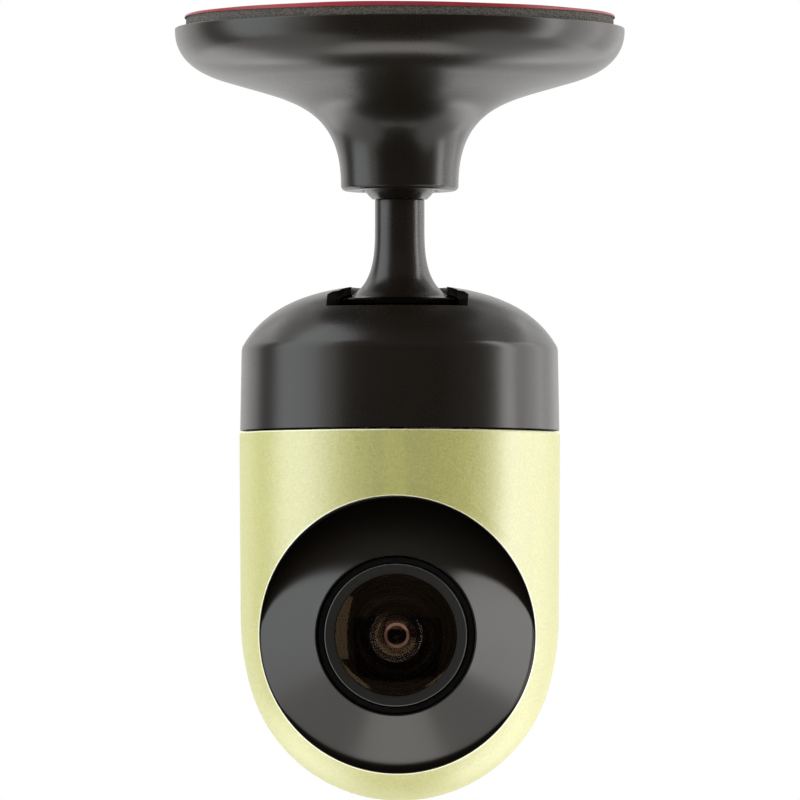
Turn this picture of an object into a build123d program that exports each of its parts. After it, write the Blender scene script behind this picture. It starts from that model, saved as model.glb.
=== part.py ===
from build123d import *
import math
import os

# A windscreen dash camera. An adhesive bell-shaped base holds a ball joint; the stem below it ends in a
# foot, a domed cap slides onto the foot, and a capsule-shaped head with the lens swivels under the cap.
# Millimetres, +Z up. The origin is the centre of the adhesive pad's outer face, which meets the
# windscreen; the lens looks along -Y, and everything hangs below z = 0.

# ---------------------------------------------------------------- driving dimensions
rim_radius = 26.8
foam_inset = 1.3
foam_thickness = 1.3
liner_inset = 1.15
liner_thickness = 0.15
liner_tab_width = 8.0
liner_tab_length = 4.5

rim_land = 0.25
base_height = 19.35
base_wall = 1.8
neck_radius = 7.0
neck_round = 0.6
plate_inset = 2.2
plate_thickness = 1.6
tower_wall = 1.9
tower_gap = 4.0
rib_count = 6
rib_width = 1.2
base_screw_count = 3
base_screw_circle = 17.0
base_boss_radius = 2.4

ball_radius = 5.0
ball_drop = 16.55
cup_lip = 0.4
cup_roof = 0.9
plug_shoulder = 1.0
plug_thickness = 3.0
spring_height = 0.55
spring_wire = 0.3

stem_radius = 2.95
stem_length = 3.1
spigot_radius = 2.0
spigot_length = 1.6
stem_screw_radius = 1.25
stem_screw_head_radius = 2.25
stem_screw_head_height = 1.6
stem_screw_length = 8.4

foot_radius = 6.85
foot_front = 6.0
foot_drop = 11.9
foot_plate_thickness = 0.32
foot_pad_thickness = 0.28
foot_pad_inset = 0.85
foot_corner = 0.8

body_radius = 19.0
cap_crown_gap = 11.14
cap_dome_height = 7.63
cap_height = 17.41
cap_crease_round = 1.6
cap_wall = 1.6
slot_floor_gap = 0.6
slot_side_gap = 0.1
slot_floor_wall = 1.5
lip_reach = 1.15
lip_mouth_flare = 0.15
mouth_flare = 1.5
mouth_roof_drop = 1.11
mouth_roof_rise = 1.38
detent_thickness = 0.25
detent_width = 12.0
detent_length = 9.0

swivel_plate_thickness = 1.5
swivel_plate_inset = 0.25
snap_height = 0.5
snap_depth = 0.5
hub_radius = 6.5
hub_bore_radius = 3.6
hub_flange_width = 1.3
hub_flange_thickness = 1.2
hub_screw_inset = 1.45
washer_width = 4.0
swivel_travel = 165.0
stop_radius = 13.0
stop_pin_radius = 0.8
stop_pin_height = 1.3

seam_gap = 0.25
shell_straight = 21.77
shell_wall = 1.5
lid_thickness = 1.8
lid_inset = 0.3
lid_screw_inset = 2.55
lid_boss_radius = 2.7
lid_boss_length = 4.3

lens_drop = 24.15
bezel_inset = 2.76
bezel_edge_forward = 9.55
bezel_flange = 0.5
bezel_nose_radius = 9.33
bezel_nose_forward = 16.0
bezel_wall = 2.0
bezel_gap = 0.13
bezel_seat_width = 1.9
bezel_screw_inset = 1.2
bezel_screw_radius = 0.5
bezel_screw_bite = 0.9
tunnel_wall = 1.3
tunnel_floor = 1.5
barrel_radius = 8.35
barrel_forward = 16.3
barrel_step_forward = 8.6
barrel_thread_radius = 5.95
barrel_back_forward = 1.5
front_glass_radius = 7.48
front_glass_curve = 16.0
seal_width_gap = 0.08

board_thickness = 1.2
main_board_width = 22.0
main_board_height = 20.2
main_board_back = 12.2
main_board_top_drop = 7.2
sensor_board_size = 16.0
sensor_board_front = 1.0
sensor_board_thickness = 1.0
supercap_radius = 4.0
supercap_length = 11.7
supercap_offset = 10.5
card_length = 15.0
card_width = 11.0
card_thickness = 0.75
card_plane = 10.1
button_radius = 3.5
button_flange_radius = 4.3
button_travel = 0.5
usb_width = 7.5
usb_height = 2.6
usb_length = 5.6

slide_clearance = 0.05
turn_clearance = 0.04
assembly_clearance = 0.1
screw_radius = 0.8
screw_head_radius = 1.5
screw_head_height = 0.8

# ---------------------------------------------------------------- levels and axes worked out from them
pad_bottom = -(liner_thickness + foam_thickness)
foam_radius = rim_radius - foam_inset
liner_radius = rim_radius - liner_inset
plate_radius = rim_radius - plate_inset
base_top = pad_bottom
neck_bottom = base_top - base_height
plate_bottom = base_top - plate_thickness
tower_top = plate_bottom - tower_gap
ball_flat = 0.76 * ball_radius
neck_mouth_radius = 0.936 * ball_radius
cup_radius = ball_radius + cup_lip
plug_radius = cup_radius + plug_shoulder
tower_radius = plug_radius + tower_wall
ball_z = base_top - ball_drop
ball_bottom = ball_z - ball_flat
cup_top = ball_z + ball_radius + turn_clearance + cup_roof
spring_top = cup_top + 2 * spring_height
plug_top = spring_top + plug_thickness
foot_top = ball_bottom - foot_drop
foot_pad_top = foot_top - foot_plate_thickness
foot_bottom = foot_pad_top - foot_pad_thickness
slot_floor = foot_bottom - slot_floor_gap
cap_crown = neck_bottom - cap_crown_gap
cap_shoulder = cap_crown - cap_dome_height
cap_bottom = cap_crown - cap_height
cap_shoulder_radius = body_radius - 0.17
cap_inner_radius = cap_shoulder_radius - cap_wall
channel_half = foot_radius + slot_side_gap
lip_half_gap = foot_radius - lip_reach
lip_mouth_half_gap = foot_radius + lip_mouth_flare
mouth_half_width = foot_radius + mouth_flare
cap_roof = slot_floor - slot_floor_wall
swivel_plate_bottom = cap_bottom + swivel_plate_inset
swivel_plate_top = swivel_plate_bottom + swivel_plate_thickness
shell_top = cap_bottom - seam_gap
shell_top_radius = body_radius + 0.08
shell_radius = body_radius - 0.07
shell_entry_radius = 1.658 * body_radius
shell_end_radius = 0.97 * body_radius
lid_top = shell_top - lid_inset
lid_bottom = lid_top - lid_thickness
swivel_gap = swivel_plate_bottom - lid_top
hub_flange_radius = hub_radius + hub_flange_width
hub_screw_circle = hub_radius - hub_screw_inset
hub_flange_top = lid_bottom - 0.3
hub_bottom = hub_flange_top - hub_flange_thickness
lens_z = shell_top - lens_drop
shell_knee_z = shell_top - shell_straight
shell_inner_radius = shell_radius - shell_wall
lid_screw_circle = shell_inner_radius - lid_screw_inset
bezel_radius = shell_radius - bezel_inset
bezel_screw_circle = bezel_radius - bezel_screw_inset
bezel_back_forward = bezel_edge_forward - bezel_flange
tunnel_back_forward = bezel_back_forward - tunnel_floor
lens_axis = Axis((0, 0, lens_z), (0, -1, 0))
lens_section = Plane(origin=(0, 0, lens_z), x_dir=(1, 0, 0), z_dir=(0, 0, -1))
lens_face = Plane(origin=(0, 0, lens_z), x_dir=(1, 0, 0), z_dir=(0, -1, 0))
main_board_front = main_board_back - board_thickness
main_board_top = shell_top - main_board_top_drop
main_board_bottom = main_board_top - main_board_height
button_z = main_board_top - 5.7
led_z = button_z - 6.0
speaker_z = led_z - 6.5
card_z = main_board_top - 8.7
sensor_board_back = sensor_board_front + sensor_board_thickness

os.makedirs("parts", exist_ok=True)
pieces = []


def keep(part, label):
    """Labels a finished piece and lists it for export."""
    part.label = label
    pieces.append(part)


def screw(head_plane, length, radius=screw_radius, head_radius=screw_head_radius,
          head_height=screw_head_height):
    """A pan-head screw: the head stands on head_plane along its normal, the shank goes the other way."""
    with BuildPart() as made:
        with BuildSketch(head_plane):
            Circle(head_radius)
        extrude(amount=head_height)
        fillet(made.edges().filter_by(GeomType.CIRCLE).group_by(SortBy.RADIUS)[-1].sort_by(
            lambda edge: (edge.center() - head_plane.origin).length)[-1], head_height * 0.4)
        with BuildSketch(head_plane.offset(head_height)):
            Rectangle(head_radius * 1.2, head_radius * 0.28)
            Rectangle(head_radius * 0.28, head_radius * 1.2)
        extrude(amount=-head_height * 0.55, mode=Mode.SUBTRACT)
        with BuildSketch(head_plane):
            Circle(radius)
        extrude(amount=-length)
    return made.part


def box_between(low, high):
    """A plain block between two corners, for boards, chips and bars."""
    with BuildPart() as made:
        with Locations(tuple((a + b) / 2 for a, b in zip(low, high))):
            Box(*(b - a for a, b in zip(low, high)))
    return made.part


# ---------------------------------------------------------------- adhesive pad
with BuildPart() as release_liner:
    with BuildSketch(Plane.XY.offset(-liner_thickness)):
        Circle(liner_radius)
        with Locations((0, liner_radius)):
            RectangleRounded(liner_tab_width, 2 * liner_tab_length, liner_tab_width * 0.3)
    extrude(amount=liner_thickness)
keep(release_liner.part, "release_liner")

with BuildPart() as foam_pad:
    with BuildSketch(Plane.XY.offset(pad_bottom)):
        Circle(foam_radius)
    extrude(amount=foam_thickness)
keep(foam_pad.part, "foam_pad")


# ---------------------------------------------------------------- base
# The outer curve is an S: full at the rim, hollow at the neck. Its handles are shares of its own spans.
curve_top = base_top - rim_land
curve_foot = neck_bottom + neck_round
round_share = 1 - math.sqrt(0.5)
bell_across = rim_radius - neck_radius
bell_down = curve_top - curve_foot
bell_knee = Vector(neck_radius + 0.645 * bell_across, curve_top - 0.341 * bell_down)
bell_lean = Vector(math.cos(0.291), math.sin(0.291)) * bell_across
bell_handle_up = bell_knee + bell_lean * 0.095
bell_handle_down = bell_knee - bell_lean * 0.356
bell_upper = [(rim_radius, curve_top), (rim_radius, curve_top - 0.253 * bell_down),
              (bell_handle_up.X, bell_handle_up.Y), (bell_knee.X, bell_knee.Y)]
bell_lower = [(bell_knee.X, bell_knee.Y), (bell_handle_down.X, bell_handle_down.Y),
              (neck_radius, curve_foot + 0.508 * bell_down), (neck_radius, curve_foot)]


def behind_wall(handles, share):
    """A point one wall thickness inside the curve with these handles, a share of the way along it."""
    curve = Bezier(*handles)
    along = curve % share
    point = curve @ share + Vector(along.Y, -along.X) * base_wall
    return point.X, point.Y


inner_points = [behind_wall(bell_upper, share) for share in (0, 0.3, 0.6, 1)]
inner_points += [behind_wall(bell_lower, share) for share in (0.25, 0.5)]

with BuildPart() as base_cavity:
    with BuildSketch(Plane.XZ):
        with BuildLine():
            Polyline(*inner_points, (0, inner_points[-1][1]), (0, curve_top), close=True)
        make_face()
        with Locations((0, plate_bottom)):
            Rectangle(2 * rim_radius, rim_radius, align=(Align.CENTER, Align.MIN), mode=Mode.SUBTRACT)
        with Locations((0, tower_top)):
            Rectangle(2 * tower_radius, rim_radius, align=(Align.CENTER, Align.MAX), mode=Mode.SUBTRACT)
    revolve(axis=Axis.Z)
    with PolarLocations(0, rib_count, start_angle=180 / rib_count):
        with Locations((tower_radius - tower_wall / 2 + rim_radius / 2, 0, tower_top)):
            Box(rim_radius, rib_width, rim_radius, align=(Align.CENTER, Align.CENTER, Align.MAX),
                mode=Mode.SUBTRACT)
    with PolarLocations(base_screw_circle, base_screw_count, start_angle=90):
        Cylinder(base_boss_radius, 2 * base_height, mode=Mode.SUBTRACT)

with BuildPart() as base_shell:
    with BuildSketch(Plane.XZ):
        with BuildLine():
            Line((rim_radius, base_top), (rim_radius, curve_top))
            Bezier(*bell_upper)
            Bezier(*bell_lower)
            ThreePointArc((neck_radius, curve_foot),
                          (neck_radius - neck_round * round_share, neck_bottom + neck_round * round_share),
                          (neck_radius - neck_round, neck_bottom))
            Polyline((neck_radius - neck_round, neck_bottom), (0, neck_bottom), (0, base_top),
                     (rim_radius, base_top))
        make_face()
    revolve(axis=Axis.Z)
    with Locations((0, 0, base_top)):
        Cylinder(plate_radius + assembly_clearance, plate_thickness,
                 align=(Align.CENTER, Align.CENTER, Align.MAX), mode=Mode.SUBTRACT)
    add(base_cavity.part, mode=Mode.SUBTRACT)
    with Locations((0, 0, spring_top)):
        Cylinder(plug_radius + turn_clearance, tower_top - spring_top,
                 align=(Align.CENTER, Align.CENTER, Align.MIN), mode=Mode.SUBTRACT)
    with Locations((0, 0, ball_z)):
        Cylinder(cup_radius + turn_clearance, spring_top - ball_z,
                 align=(Align.CENTER, Align.CENTER, Align.MIN), mode=Mode.SUBTRACT)
        Sphere(ball_radius + turn_clearance, mode=Mode.SUBTRACT)
        Cylinder(neck_mouth_radius, base_height,
                 align=(Align.CENTER, Align.CENTER, Align.MAX), mode=Mode.SUBTRACT)
    with Locations((0, 0, plate_bottom)):
        with PolarLocations(base_screw_circle, base_screw_count, start_angle=90):
            Cylinder(screw_radius + slide_clearance, 3.2,
                     align=(Align.CENTER, Align.CENTER, Align.MAX), mode=Mode.SUBTRACT)
keep(base_shell.part, "base_shell")

with BuildPart() as base_plate:
    with BuildSketch(Plane.XY.offset(plate_bottom)):
        Circle(plate_radius)
    extrude(amount=plate_thickness)
    with Locations((0, 0, base_top)):
        with PolarLocations(base_screw_circle, base_screw_count, start_angle=90):
            CounterBoreHole(screw_radius + assembly_clearance, screw_head_radius + assembly_clearance,
                            screw_head_height + assembly_clearance, plate_thickness)
keep(base_plate.part, "base_plate")

base_screw_planes = [
    Plane(origin=place.position + Vector(0, 0, base_top - screw_head_height - slide_clearance), z_dir=(0, 0, 1))
    for place in PolarLocations(base_screw_circle, base_screw_count, start_angle=90).locations]
keep(Compound(children=[screw(plane, 3.4) for plane in base_screw_planes]), "base_screws")

# ---------------------------------------------------------------- ball joint
with BuildPart() as socket_plug:
    with Locations((0, 0, spring_top + slide_clearance)):
        Cylinder(plug_radius, plug_thickness, align=(Align.CENTER, Align.CENTER, Align.MIN))
    with Locations((0, 0, plug_top + slide_clearance)):
        Box(2 * plug_radius, 1.6, 1.4, align=(Align.CENTER, Align.CENTER, Align.MAX), mode=Mode.SUBTRACT)
    chamfer(socket_plug.edges().filter_by(GeomType.CIRCLE).sort_by(Axis.Z)[0], 0.3)
keep(socket_plug.part, "socket_plug")


def disc_spring(foot_z, opens_up):
    """A coned disc spring standing on foot_z; two of them back to back press the cup on the ball."""
    inner, outer = 2.3, cup_radius - 0.5
    rise = spring_height - spring_wire - 0.02
    low_at_rim = 0 if opens_up else rise
    low_at_bore = rise - low_at_rim
    with BuildPart() as made:
        with BuildSketch(Plane.XZ):
            with BuildLine():
                Polyline((outer, foot_z + low_at_rim), (outer, foot_z + low_at_rim + spring_wire),
                         (inner, foot_z + low_at_bore + spring_wire), (inner, foot_z + low_at_bore), close=True)
            make_face()
        revolve(axis=Axis.Z)
    return made.part


keep(Compound(children=[disc_spring(cup_top + 0.02, True),
                        disc_spring(cup_top + spring_height + 0.02, False)]), "disc_springs")

with BuildPart() as pressure_cup:
    with Locations((0, 0, cup_top)):
        Cylinder(cup_radius, cup_top - ball_z - 1.2, align=(Align.CENTER, Align.CENTER, Align.MAX))
    with Locations((0, 0, ball_z)):
        Sphere(ball_radius + turn_clearance, mode=Mode.SUBTRACT)
keep(pressure_cup.part, "pressure_cup")

with BuildPart() as ball:
    with Locations((0, 0, ball_z)):
        Sphere(ball_radius)
        Cylinder(ball_radius + 1, 2 * ball_flat, mode=Mode.INTERSECT)
        Cylinder(stem_screw_radius + 0.15, 2 * ball_radius, mode=Mode.SUBTRACT)
    with Locations((0, 0, ball_z + ball_flat)):
        Cylinder(stem_screw_head_radius + 0.1, ball_flat - 1.3,
                 align=(Align.CENTER, Align.CENTER, Align.MAX), mode=Mode.SUBTRACT)
    with Locations((0, 0, ball_bottom)):
        Cylinder(spigot_radius + turn_clearance, spigot_length + assembly_clearance,
                 align=(Align.CENTER, Align.CENTER, Align.MIN), mode=Mode.SUBTRACT)
keep(ball.part, "ball")

# ---------------------------------------------------------------- stem and foot
stem_top = ball_bottom - slide_clearance
flare_top = stem_top - stem_length
flare_drop = flare_top - foot_top
flare_reach = foot_radius - stem_radius
flare_handle_top = 0.35
flare_handle_foot = 0.12


def flare_height(radius):
    """How far above the foot the flare is at a radius: the same cubic that the stem is turned from."""
    share = ((radius - stem_radius) / flare_reach) ** (1 / 3)
    left = 1 - share
    return flare_drop * (3 * share ** 2 * left * flare_handle_foot
                         + 3 * share * left ** 2 * (1 - flare_handle_top) + left ** 3)


with BuildPart() as stem:
    with BuildSketch(Plane.XZ):
        with BuildLine():
            Polyline((0, stem_top), (stem_radius, stem_top), (stem_radius, flare_top))
            Bezier((stem_radius, flare_top), (stem_radius, flare_top - flare_handle_top * flare_drop),
                   (stem_radius, foot_top + flare_handle_foot * flare_drop), (foot_radius, foot_top))
            Polyline((foot_radius, foot_top), (0, foot_top), (0, stem_top))
        make_face()
    revolve(axis=Axis.Z)
    with BuildSketch(Plane.XY.offset(foot_pad_top)):
        Circle(foot_radius)
        with Locations((0, -foot_front / 2)):
            Rectangle(2 * foot_radius, foot_front)
        fillet(vertices().sort_by(Axis.Y)[:2], foot_corner)
    extrude(amount=foot_plate_thickness)
    with BuildSketch(Plane.XY.offset(foot_bottom)):
        Circle(foot_radius - foot_pad_inset)
        with Locations((0, -foot_front / 2)):
            Rectangle(2 * (foot_radius - foot_pad_inset), foot_front)
        fillet(vertices().sort_by(Axis.Y)[:2], foot_corner)
    extrude(amount=foot_pad_thickness)
    fillet(stem.edges().filter_by(GeomType.CIRCLE).sort_by(Axis.Z)[-1], 0.12)
    with Locations((0, 0, stem_top)):
        Cylinder(spigot_radius, spigot_length, align=(Align.CENTER, Align.CENTER, Align.MIN))
        Cylinder(stem_screw_radius + slide_clearance, 2 * stem_screw_length, mode=Mode.SUBTRACT)
keep(stem.part, "stem")

stem_screw = screw(Plane.XY.offset(ball_z + 1.3 + slide_clearance), stem_screw_length,
                   stem_screw_radius, stem_screw_head_radius, stem_screw_head_height)
keep(stem_screw, "stem_screw")


# ---------------------------------------------------------------- cap
def cap_section():
    """The cap's outline from its axis: crown, dome, crease, and a side with a little draft."""
    across = cap_shoulder_radius
    down = cap_dome_height
    Bezier((0, cap_crown), (0.425 * across, cap_crown),
           (across - 0.175 * across, cap_shoulder + 0.807 * down), (across, cap_shoulder))
    Polyline((across, cap_shoulder), (body_radius, cap_bottom), (0, cap_bottom), (0, cap_crown))


slot_roof = foot_top + slide_clearance
slot_half = [(0, slot_floor), (channel_half, slot_floor), (channel_half, slot_roof),
             (lip_half_gap, slot_roof + flare_height(lip_half_gap)), (lip_half_gap, cap_crown + 1),
             (0, cap_crown + 1)]
with BuildPart() as slot_run:
    with BuildSketch(Plane.XZ):
        with BuildLine():
            Polyline(*slot_half, close=True)
        make_face()
        mirror(about=Plane.YZ)
    extrude(amount=2 * body_radius)
    with BuildSketch(Plane.XZ):
        with BuildLine():
            Polyline(*slot_half, close=True)
        make_face()
    revolve(axis=Axis.Z)

with BuildPart() as slot_mouth:
    with BuildSketch(Plane.XY.offset(slot_floor)):
        with BuildLine():
            Polyline((-channel_half, -3.5), (-mouth_half_width, -7.0), (-mouth_half_width, -2 * body_radius),
                     (mouth_half_width, -2 * body_radius), (mouth_half_width, -7.0), (channel_half, -3.5),
                     close=True)
        make_face()
    extrude(amount=2 * cap_dome_height)
    with BuildSketch(Plane.XZ):
        with BuildLine():
            mouth_roof = cap_crown - mouth_roof_drop
            Polyline((-mouth_half_width, slot_floor), (mouth_half_width, slot_floor),
                     (mouth_half_width, mouth_roof), (0, mouth_roof + mouth_roof_rise),
                     (-mouth_half_width, mouth_roof), close=True)
        make_face()
    extrude(amount=2 * body_radius, both=True, mode=Mode.INTERSECT)
    with BuildSketch(Plane.XY.offset(slot_floor)):
        with BuildLine():
            Polyline((-lip_half_gap, -2.0), (-lip_mouth_half_gap, -5.2), (-lip_mouth_half_gap, -2 * body_radius),
                     (lip_mouth_half_gap, -2 * body_radius), (lip_mouth_half_gap, -5.2), (lip_half_gap, -2.0),
                     close=True)
        make_face()
    extrude(amount=2 * cap_dome_height)

with BuildPart() as top_cap:
    with BuildSketch(Plane.XZ):
        with BuildLine():
            cap_section()
        make_face()
    revolve(axis=Axis.Z)
    fillet(top_cap.edges().filter_by(GeomType.CIRCLE).sort_by(Axis.Z)[-1], cap_crease_round)
    with BuildSketch(Plane.XZ):
        with BuildLine():
            Polyline((0, cap_bottom - 1), (cap_inner_radius, cap_bottom - 1),
                     (cap_inner_radius, cap_shoulder - 1.0), (cap_inner_radius - 4.8, cap_roof),
                     (0, cap_roof), close=True)
        make_face()
    revolve(axis=Axis.Z, mode=Mode.SUBTRACT)
    with BuildSketch(Plane.XZ):
        with Locations((cap_inner_radius, swivel_plate_top - snap_height)):
            Rectangle(2 * snap_depth, 2 * snap_height)
    revolve(axis=Axis.Z, mode=Mode.SUBTRACT)
    add(slot_run.part, mode=Mode.SUBTRACT)
    add(slot_mouth.part, mode=Mode.SUBTRACT)
    usb_z = swivel_plate_top + 1.2 + 1.0 + usb_height / 2
    with BuildSketch(Plane.XZ):
        with Locations((0, usb_z)):
            RectangleRounded(usb_width + 0.8, usb_height + 0.8, 1.0)
    extrude(amount=-2 * body_radius, mode=Mode.SUBTRACT)
keep(top_cap.part, "top_cap")

with BuildPart() as detent_spring:
    with BuildSketch(Plane.XY.offset(slot_floor)):
        with Locations((0, -detent_length / 6)):
            RectangleRounded(detent_width, detent_length, 1.0)
    extrude(amount=detent_thickness)
    with BuildSketch(Plane.XZ):
        with Locations((0, slot_floor + detent_thickness)):
            Ellipse(3.0, slot_floor_gap - detent_thickness - slide_clearance)
            Rectangle(6.0, 2.0, align=(Align.CENTER, Align.MAX), mode=Mode.SUBTRACT)
    extrude(amount=1.5, both=True)
keep(detent_spring.part, "detent_spring")

# ---------------------------------------------------------------- swivel between cap and head
with BuildPart() as swivel_plate:
    with BuildSketch(Plane.XY.offset(swivel_plate_bottom)):
        Circle(cap_inner_radius - assembly_clearance)
        Circle(hub_bore_radius, mode=Mode.SUBTRACT)
    extrude(amount=swivel_plate_thickness)
    with BuildSketch(Plane.XY.offset(swivel_plate_top - 1.5 * snap_height)):
        Circle(cap_inner_radius + snap_depth - assembly_clearance)
        Circle(cap_inner_radius - 1.0, mode=Mode.SUBTRACT)
        with PolarLocations(cap_inner_radius, 4, start_angle=45):
            Rectangle(8, 12, mode=Mode.SUBTRACT)
    extrude(amount=snap_height)
    with Locations((0, 0, swivel_plate_top)):
        with PolarLocations(hub_screw_circle, 3, start_angle=30):
            CounterBoreHole(0.6 + slide_clearance, 1.0 + assembly_clearance, 0.6, swivel_plate_thickness)
    with BuildSketch(Plane.XY.offset(swivel_plate_bottom)):
        stop_half_angle = 180 - swivel_travel - math.degrees(math.asin(stop_pin_radius / stop_radius)) - 0.4
        Circle(stop_radius + stop_pin_radius + 0.2)
        Circle(stop_radius - stop_pin_radius - 0.2, mode=Mode.SUBTRACT)
        with BuildLine():
            far = 2 * stop_radius
            corner = (far * math.sin(math.radians(stop_half_angle)), far * math.cos(math.radians(stop_half_angle)))
            Polyline((0, 0), corner, (-corner[0], corner[1]), close=True)
        make_face(mode=Mode.SUBTRACT)
    extrude(amount=stop_pin_height - swivel_gap + 0.3, mode=Mode.SUBTRACT)
keep(swivel_plate.part, "swivel_plate")

with BuildPart() as swivel_hub:
    with BuildSketch(Plane.XY.offset(hub_bottom)):
        Circle(hub_flange_radius)
    extrude(amount=hub_flange_thickness)
    with BuildSketch(Plane.XY.offset(hub_flange_top)):
        Circle(hub_radius)
    extrude(amount=swivel_plate_bottom - hub_flange_top)
    with Locations((0, 0, hub_bottom)):
        Cylinder(hub_bore_radius, 20, mode=Mode.SUBTRACT)
    with Locations((0, 0, swivel_plate_bottom)):
        with PolarLocations(hub_screw_circle, 3, start_angle=30):
            Cylinder(0.6 + slide_clearance, 6, mode=Mode.SUBTRACT)
keep(swivel_hub.part, "swivel_hub")

hub_screw_planes = [
    Plane(origin=place.position + Vector(0, 0, swivel_plate_top - 0.55), z_dir=(0, 0, 1))
    for place in PolarLocations(hub_screw_circle, 3, start_angle=30).locations]
keep(Compound(children=[screw(plane, 3.4, 0.6, 1.0, 0.5) for plane in hub_screw_planes]), "hub_screws")

with BuildPart() as friction_washer:
    with BuildSketch(Plane.XY.offset(lid_top + slide_clearance)):
        Circle(hub_radius + washer_width)
        Circle(hub_radius + 0.3, mode=Mode.SUBTRACT)
    extrude(amount=swivel_gap - 2 * slide_clearance - 0.05)
keep(friction_washer.part, "friction_washer")

with BuildPart() as wave_washer:
    with BuildSketch(Plane.XY.offset(hub_flange_top + 0.02)):
        Circle(hub_flange_radius - 0.1)
        Circle(hub_radius + 0.15, mode=Mode.SUBTRACT)
    extrude(amount=0.25)
keep(wave_washer.part, "wave_washer")

# ---------------------------------------------------------------- power board in the cap
power_board_bottom = swivel_plate_top + 1.2
power_board_top = power_board_bottom + 1.0
power_board_back = cap_inner_radius - 1.9
with BuildPart() as power_board:
    add(box_between((-7.5, 5.2, power_board_bottom), (7.5, power_board_back - 1.2, power_board_top)))
    with Locations((0, 0, power_board_bottom)):
        with Locations((-6, 7.5, 0), (6, 7.5, 0)):
            Cylinder(1.4, 1.2 - slide_clearance, align=(Align.CENTER, Align.CENTER, Align.MAX))
keep(power_board.part, "power_board")

usb_back = cap_inner_radius + 0.3
with BuildPart() as usb_socket:
    with BuildSketch(Plane.XZ.offset(-usb_back)):
        with Locations((0, usb_z)):
            RectangleRounded(usb_width, usb_height, 0.9)
            RectangleRounded(usb_width - 0.6, usb_height - 0.6, 0.7, mode=Mode.SUBTRACT)
    extrude(amount=usb_length)
    add(box_between((-usb_width / 2 + 0.3, usb_back - usb_length, usb_z - usb_height / 2 + 0.3),
                    (usb_width / 2 - 0.3, usb_back - usb_length + 1.0, usb_z + usb_height / 2 - 0.3)))
    add(box_between((-2.0, usb_back - usb_length + 1.0, usb_z + 0.05), (2.0, usb_back - 0.8, usb_z + 0.55)))
keep(usb_socket.part, "usb_socket")

harness_top = power_board_top + 2.6
plug_socket_top = hub_bottom - 1.0
with BuildPart() as power_harness:
    with BuildLine():
        FilletPolyline((0, 7.4, power_board_top), (0, 7.4, harness_top), (0, 0, harness_top),
                       (0, 0, plug_socket_top), radius=2.2)
    with BuildSketch(Plane.XY.offset(power_board_top).move(Location((0, 7.4, 0)))):
        Circle(0.8)
    sweep()
keep(power_harness.part, "power_harness")


# ---------------------------------------------------------------- head shell
def capsule_section(inset, top_z, top_radius):
    """Half the capsule's outline: a side with a little draft, a long arc, then the round end."""
    entry = shell_entry_radius - inset
    end = shell_end_radius - inset
    side = shell_radius - inset
    lean = math.acos((entry - side) / (entry - end))
    end_z = shell_knee_z - (entry - end) * math.sin(lean)
    turn = ((side - entry) + entry * math.cos(lean), shell_knee_z - entry * math.sin(lean))
    middle = ((side - entry) + entry * math.cos(lean / 2), shell_knee_z - entry * math.sin(lean / 2))
    half = (math.pi / 2 + lean) / 2
    Polyline((0, top_z), (top_radius, top_z), (side, shell_knee_z))
    ThreePointArc((side, shell_knee_z), middle, turn)
    ThreePointArc(turn, (end * math.cos(half), end_z - end * math.sin(half)), (0, end_z - end))
    Line((0, end_z - end), (0, top_z))


with BuildPart() as shell_plug:
    with BuildSketch(lens_face.offset(tunnel_back_forward)):
        Circle(bezel_radius + bezel_gap + tunnel_wall)
    extrude(amount=2 * shell_radius)
    with BuildSketch(Plane.XZ):
        with BuildLine():
            capsule_section(0, shell_top - lid_inset - lid_thickness - 1.0, shell_top_radius)
        make_face()
    revolve(axis=Axis.Z, mode=Mode.INTERSECT)

speaker_hole_spots = [(0, 0)] + [
    (ring * 1.9 * math.cos(math.radians(60 * k)), ring * 1.9 * math.sin(math.radians(60 * k)))
    for ring in (1, 2) for k in range(6)]

with BuildPart() as lower_shell:
    with BuildSketch(Plane.XZ):
        with BuildLine():
            capsule_section(0, shell_top, shell_top_radius)
        make_face()
    revolve(axis=Axis.Z)
    fillet(lower_shell.edges().filter_by(GeomType.CIRCLE).sort_by(Axis.Z)[-1], 0.18)
    with BuildSketch(Plane.XZ):
        with BuildLine():
            capsule_section(shell_wall, shell_top + 1, shell_inner_radius)
        make_face()
    revolve(axis=Axis.Z, mode=Mode.SUBTRACT)
    add(shell_plug.part)
    with BuildSketch(lens_face.offset(bezel_back_forward)):
        Circle(bezel_radius + bezel_gap)
    extrude(amount=2 * shell_radius, mode=Mode.SUBTRACT)
    with BuildSketch(lens_face.offset(tunnel_back_forward - 1)):
        Circle(bezel_radius - bezel_seat_width)
        with PolarLocations(bezel_screw_circle, 3, start_angle=30):
            Circle(bezel_screw_radius + slide_clearance)
    extrude(amount=tunnel_floor + 2, mode=Mode.SUBTRACT)
    with Locations((0, 0, lid_bottom - slide_clearance)):
        with PolarLocations(lid_screw_circle, 3, start_angle=90):
            Cylinder(lid_boss_radius, lid_boss_length, align=(Align.CENTER, Align.CENTER, Align.MAX))
            Cylinder(screw_radius + slide_clearance, 2 * lid_boss_length - 1, mode=Mode.SUBTRACT)
    with BuildSketch(Plane.XZ):
        with Locations((0, button_z)):
            Circle(button_radius + assembly_clearance)
        with Locations((0, led_z)):
            Circle(0.9 + slide_clearance)
        with Locations((7.5, button_z)):
            Circle(0.5)
        with Locations(*[(x, speaker_z + z) for x, z in speaker_hole_spots]):
            Circle(0.5)
    extrude(amount=-2 * shell_radius, mode=Mode.SUBTRACT)
    with BuildSketch(Plane.YZ):
        with Locations((card_plane, card_z)):
            RectangleRounded(card_thickness + 0.6, card_width + 0.6, 0.4)
    extrude(amount=2 * shell_radius, mode=Mode.SUBTRACT)
    card_edge = math.sqrt(shell_radius ** 2 - card_plane ** 2)
    with Locations((card_edge + 3.9, card_plane + 2.4, card_z)):
        Sphere(5.0, mode=Mode.SUBTRACT)
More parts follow.
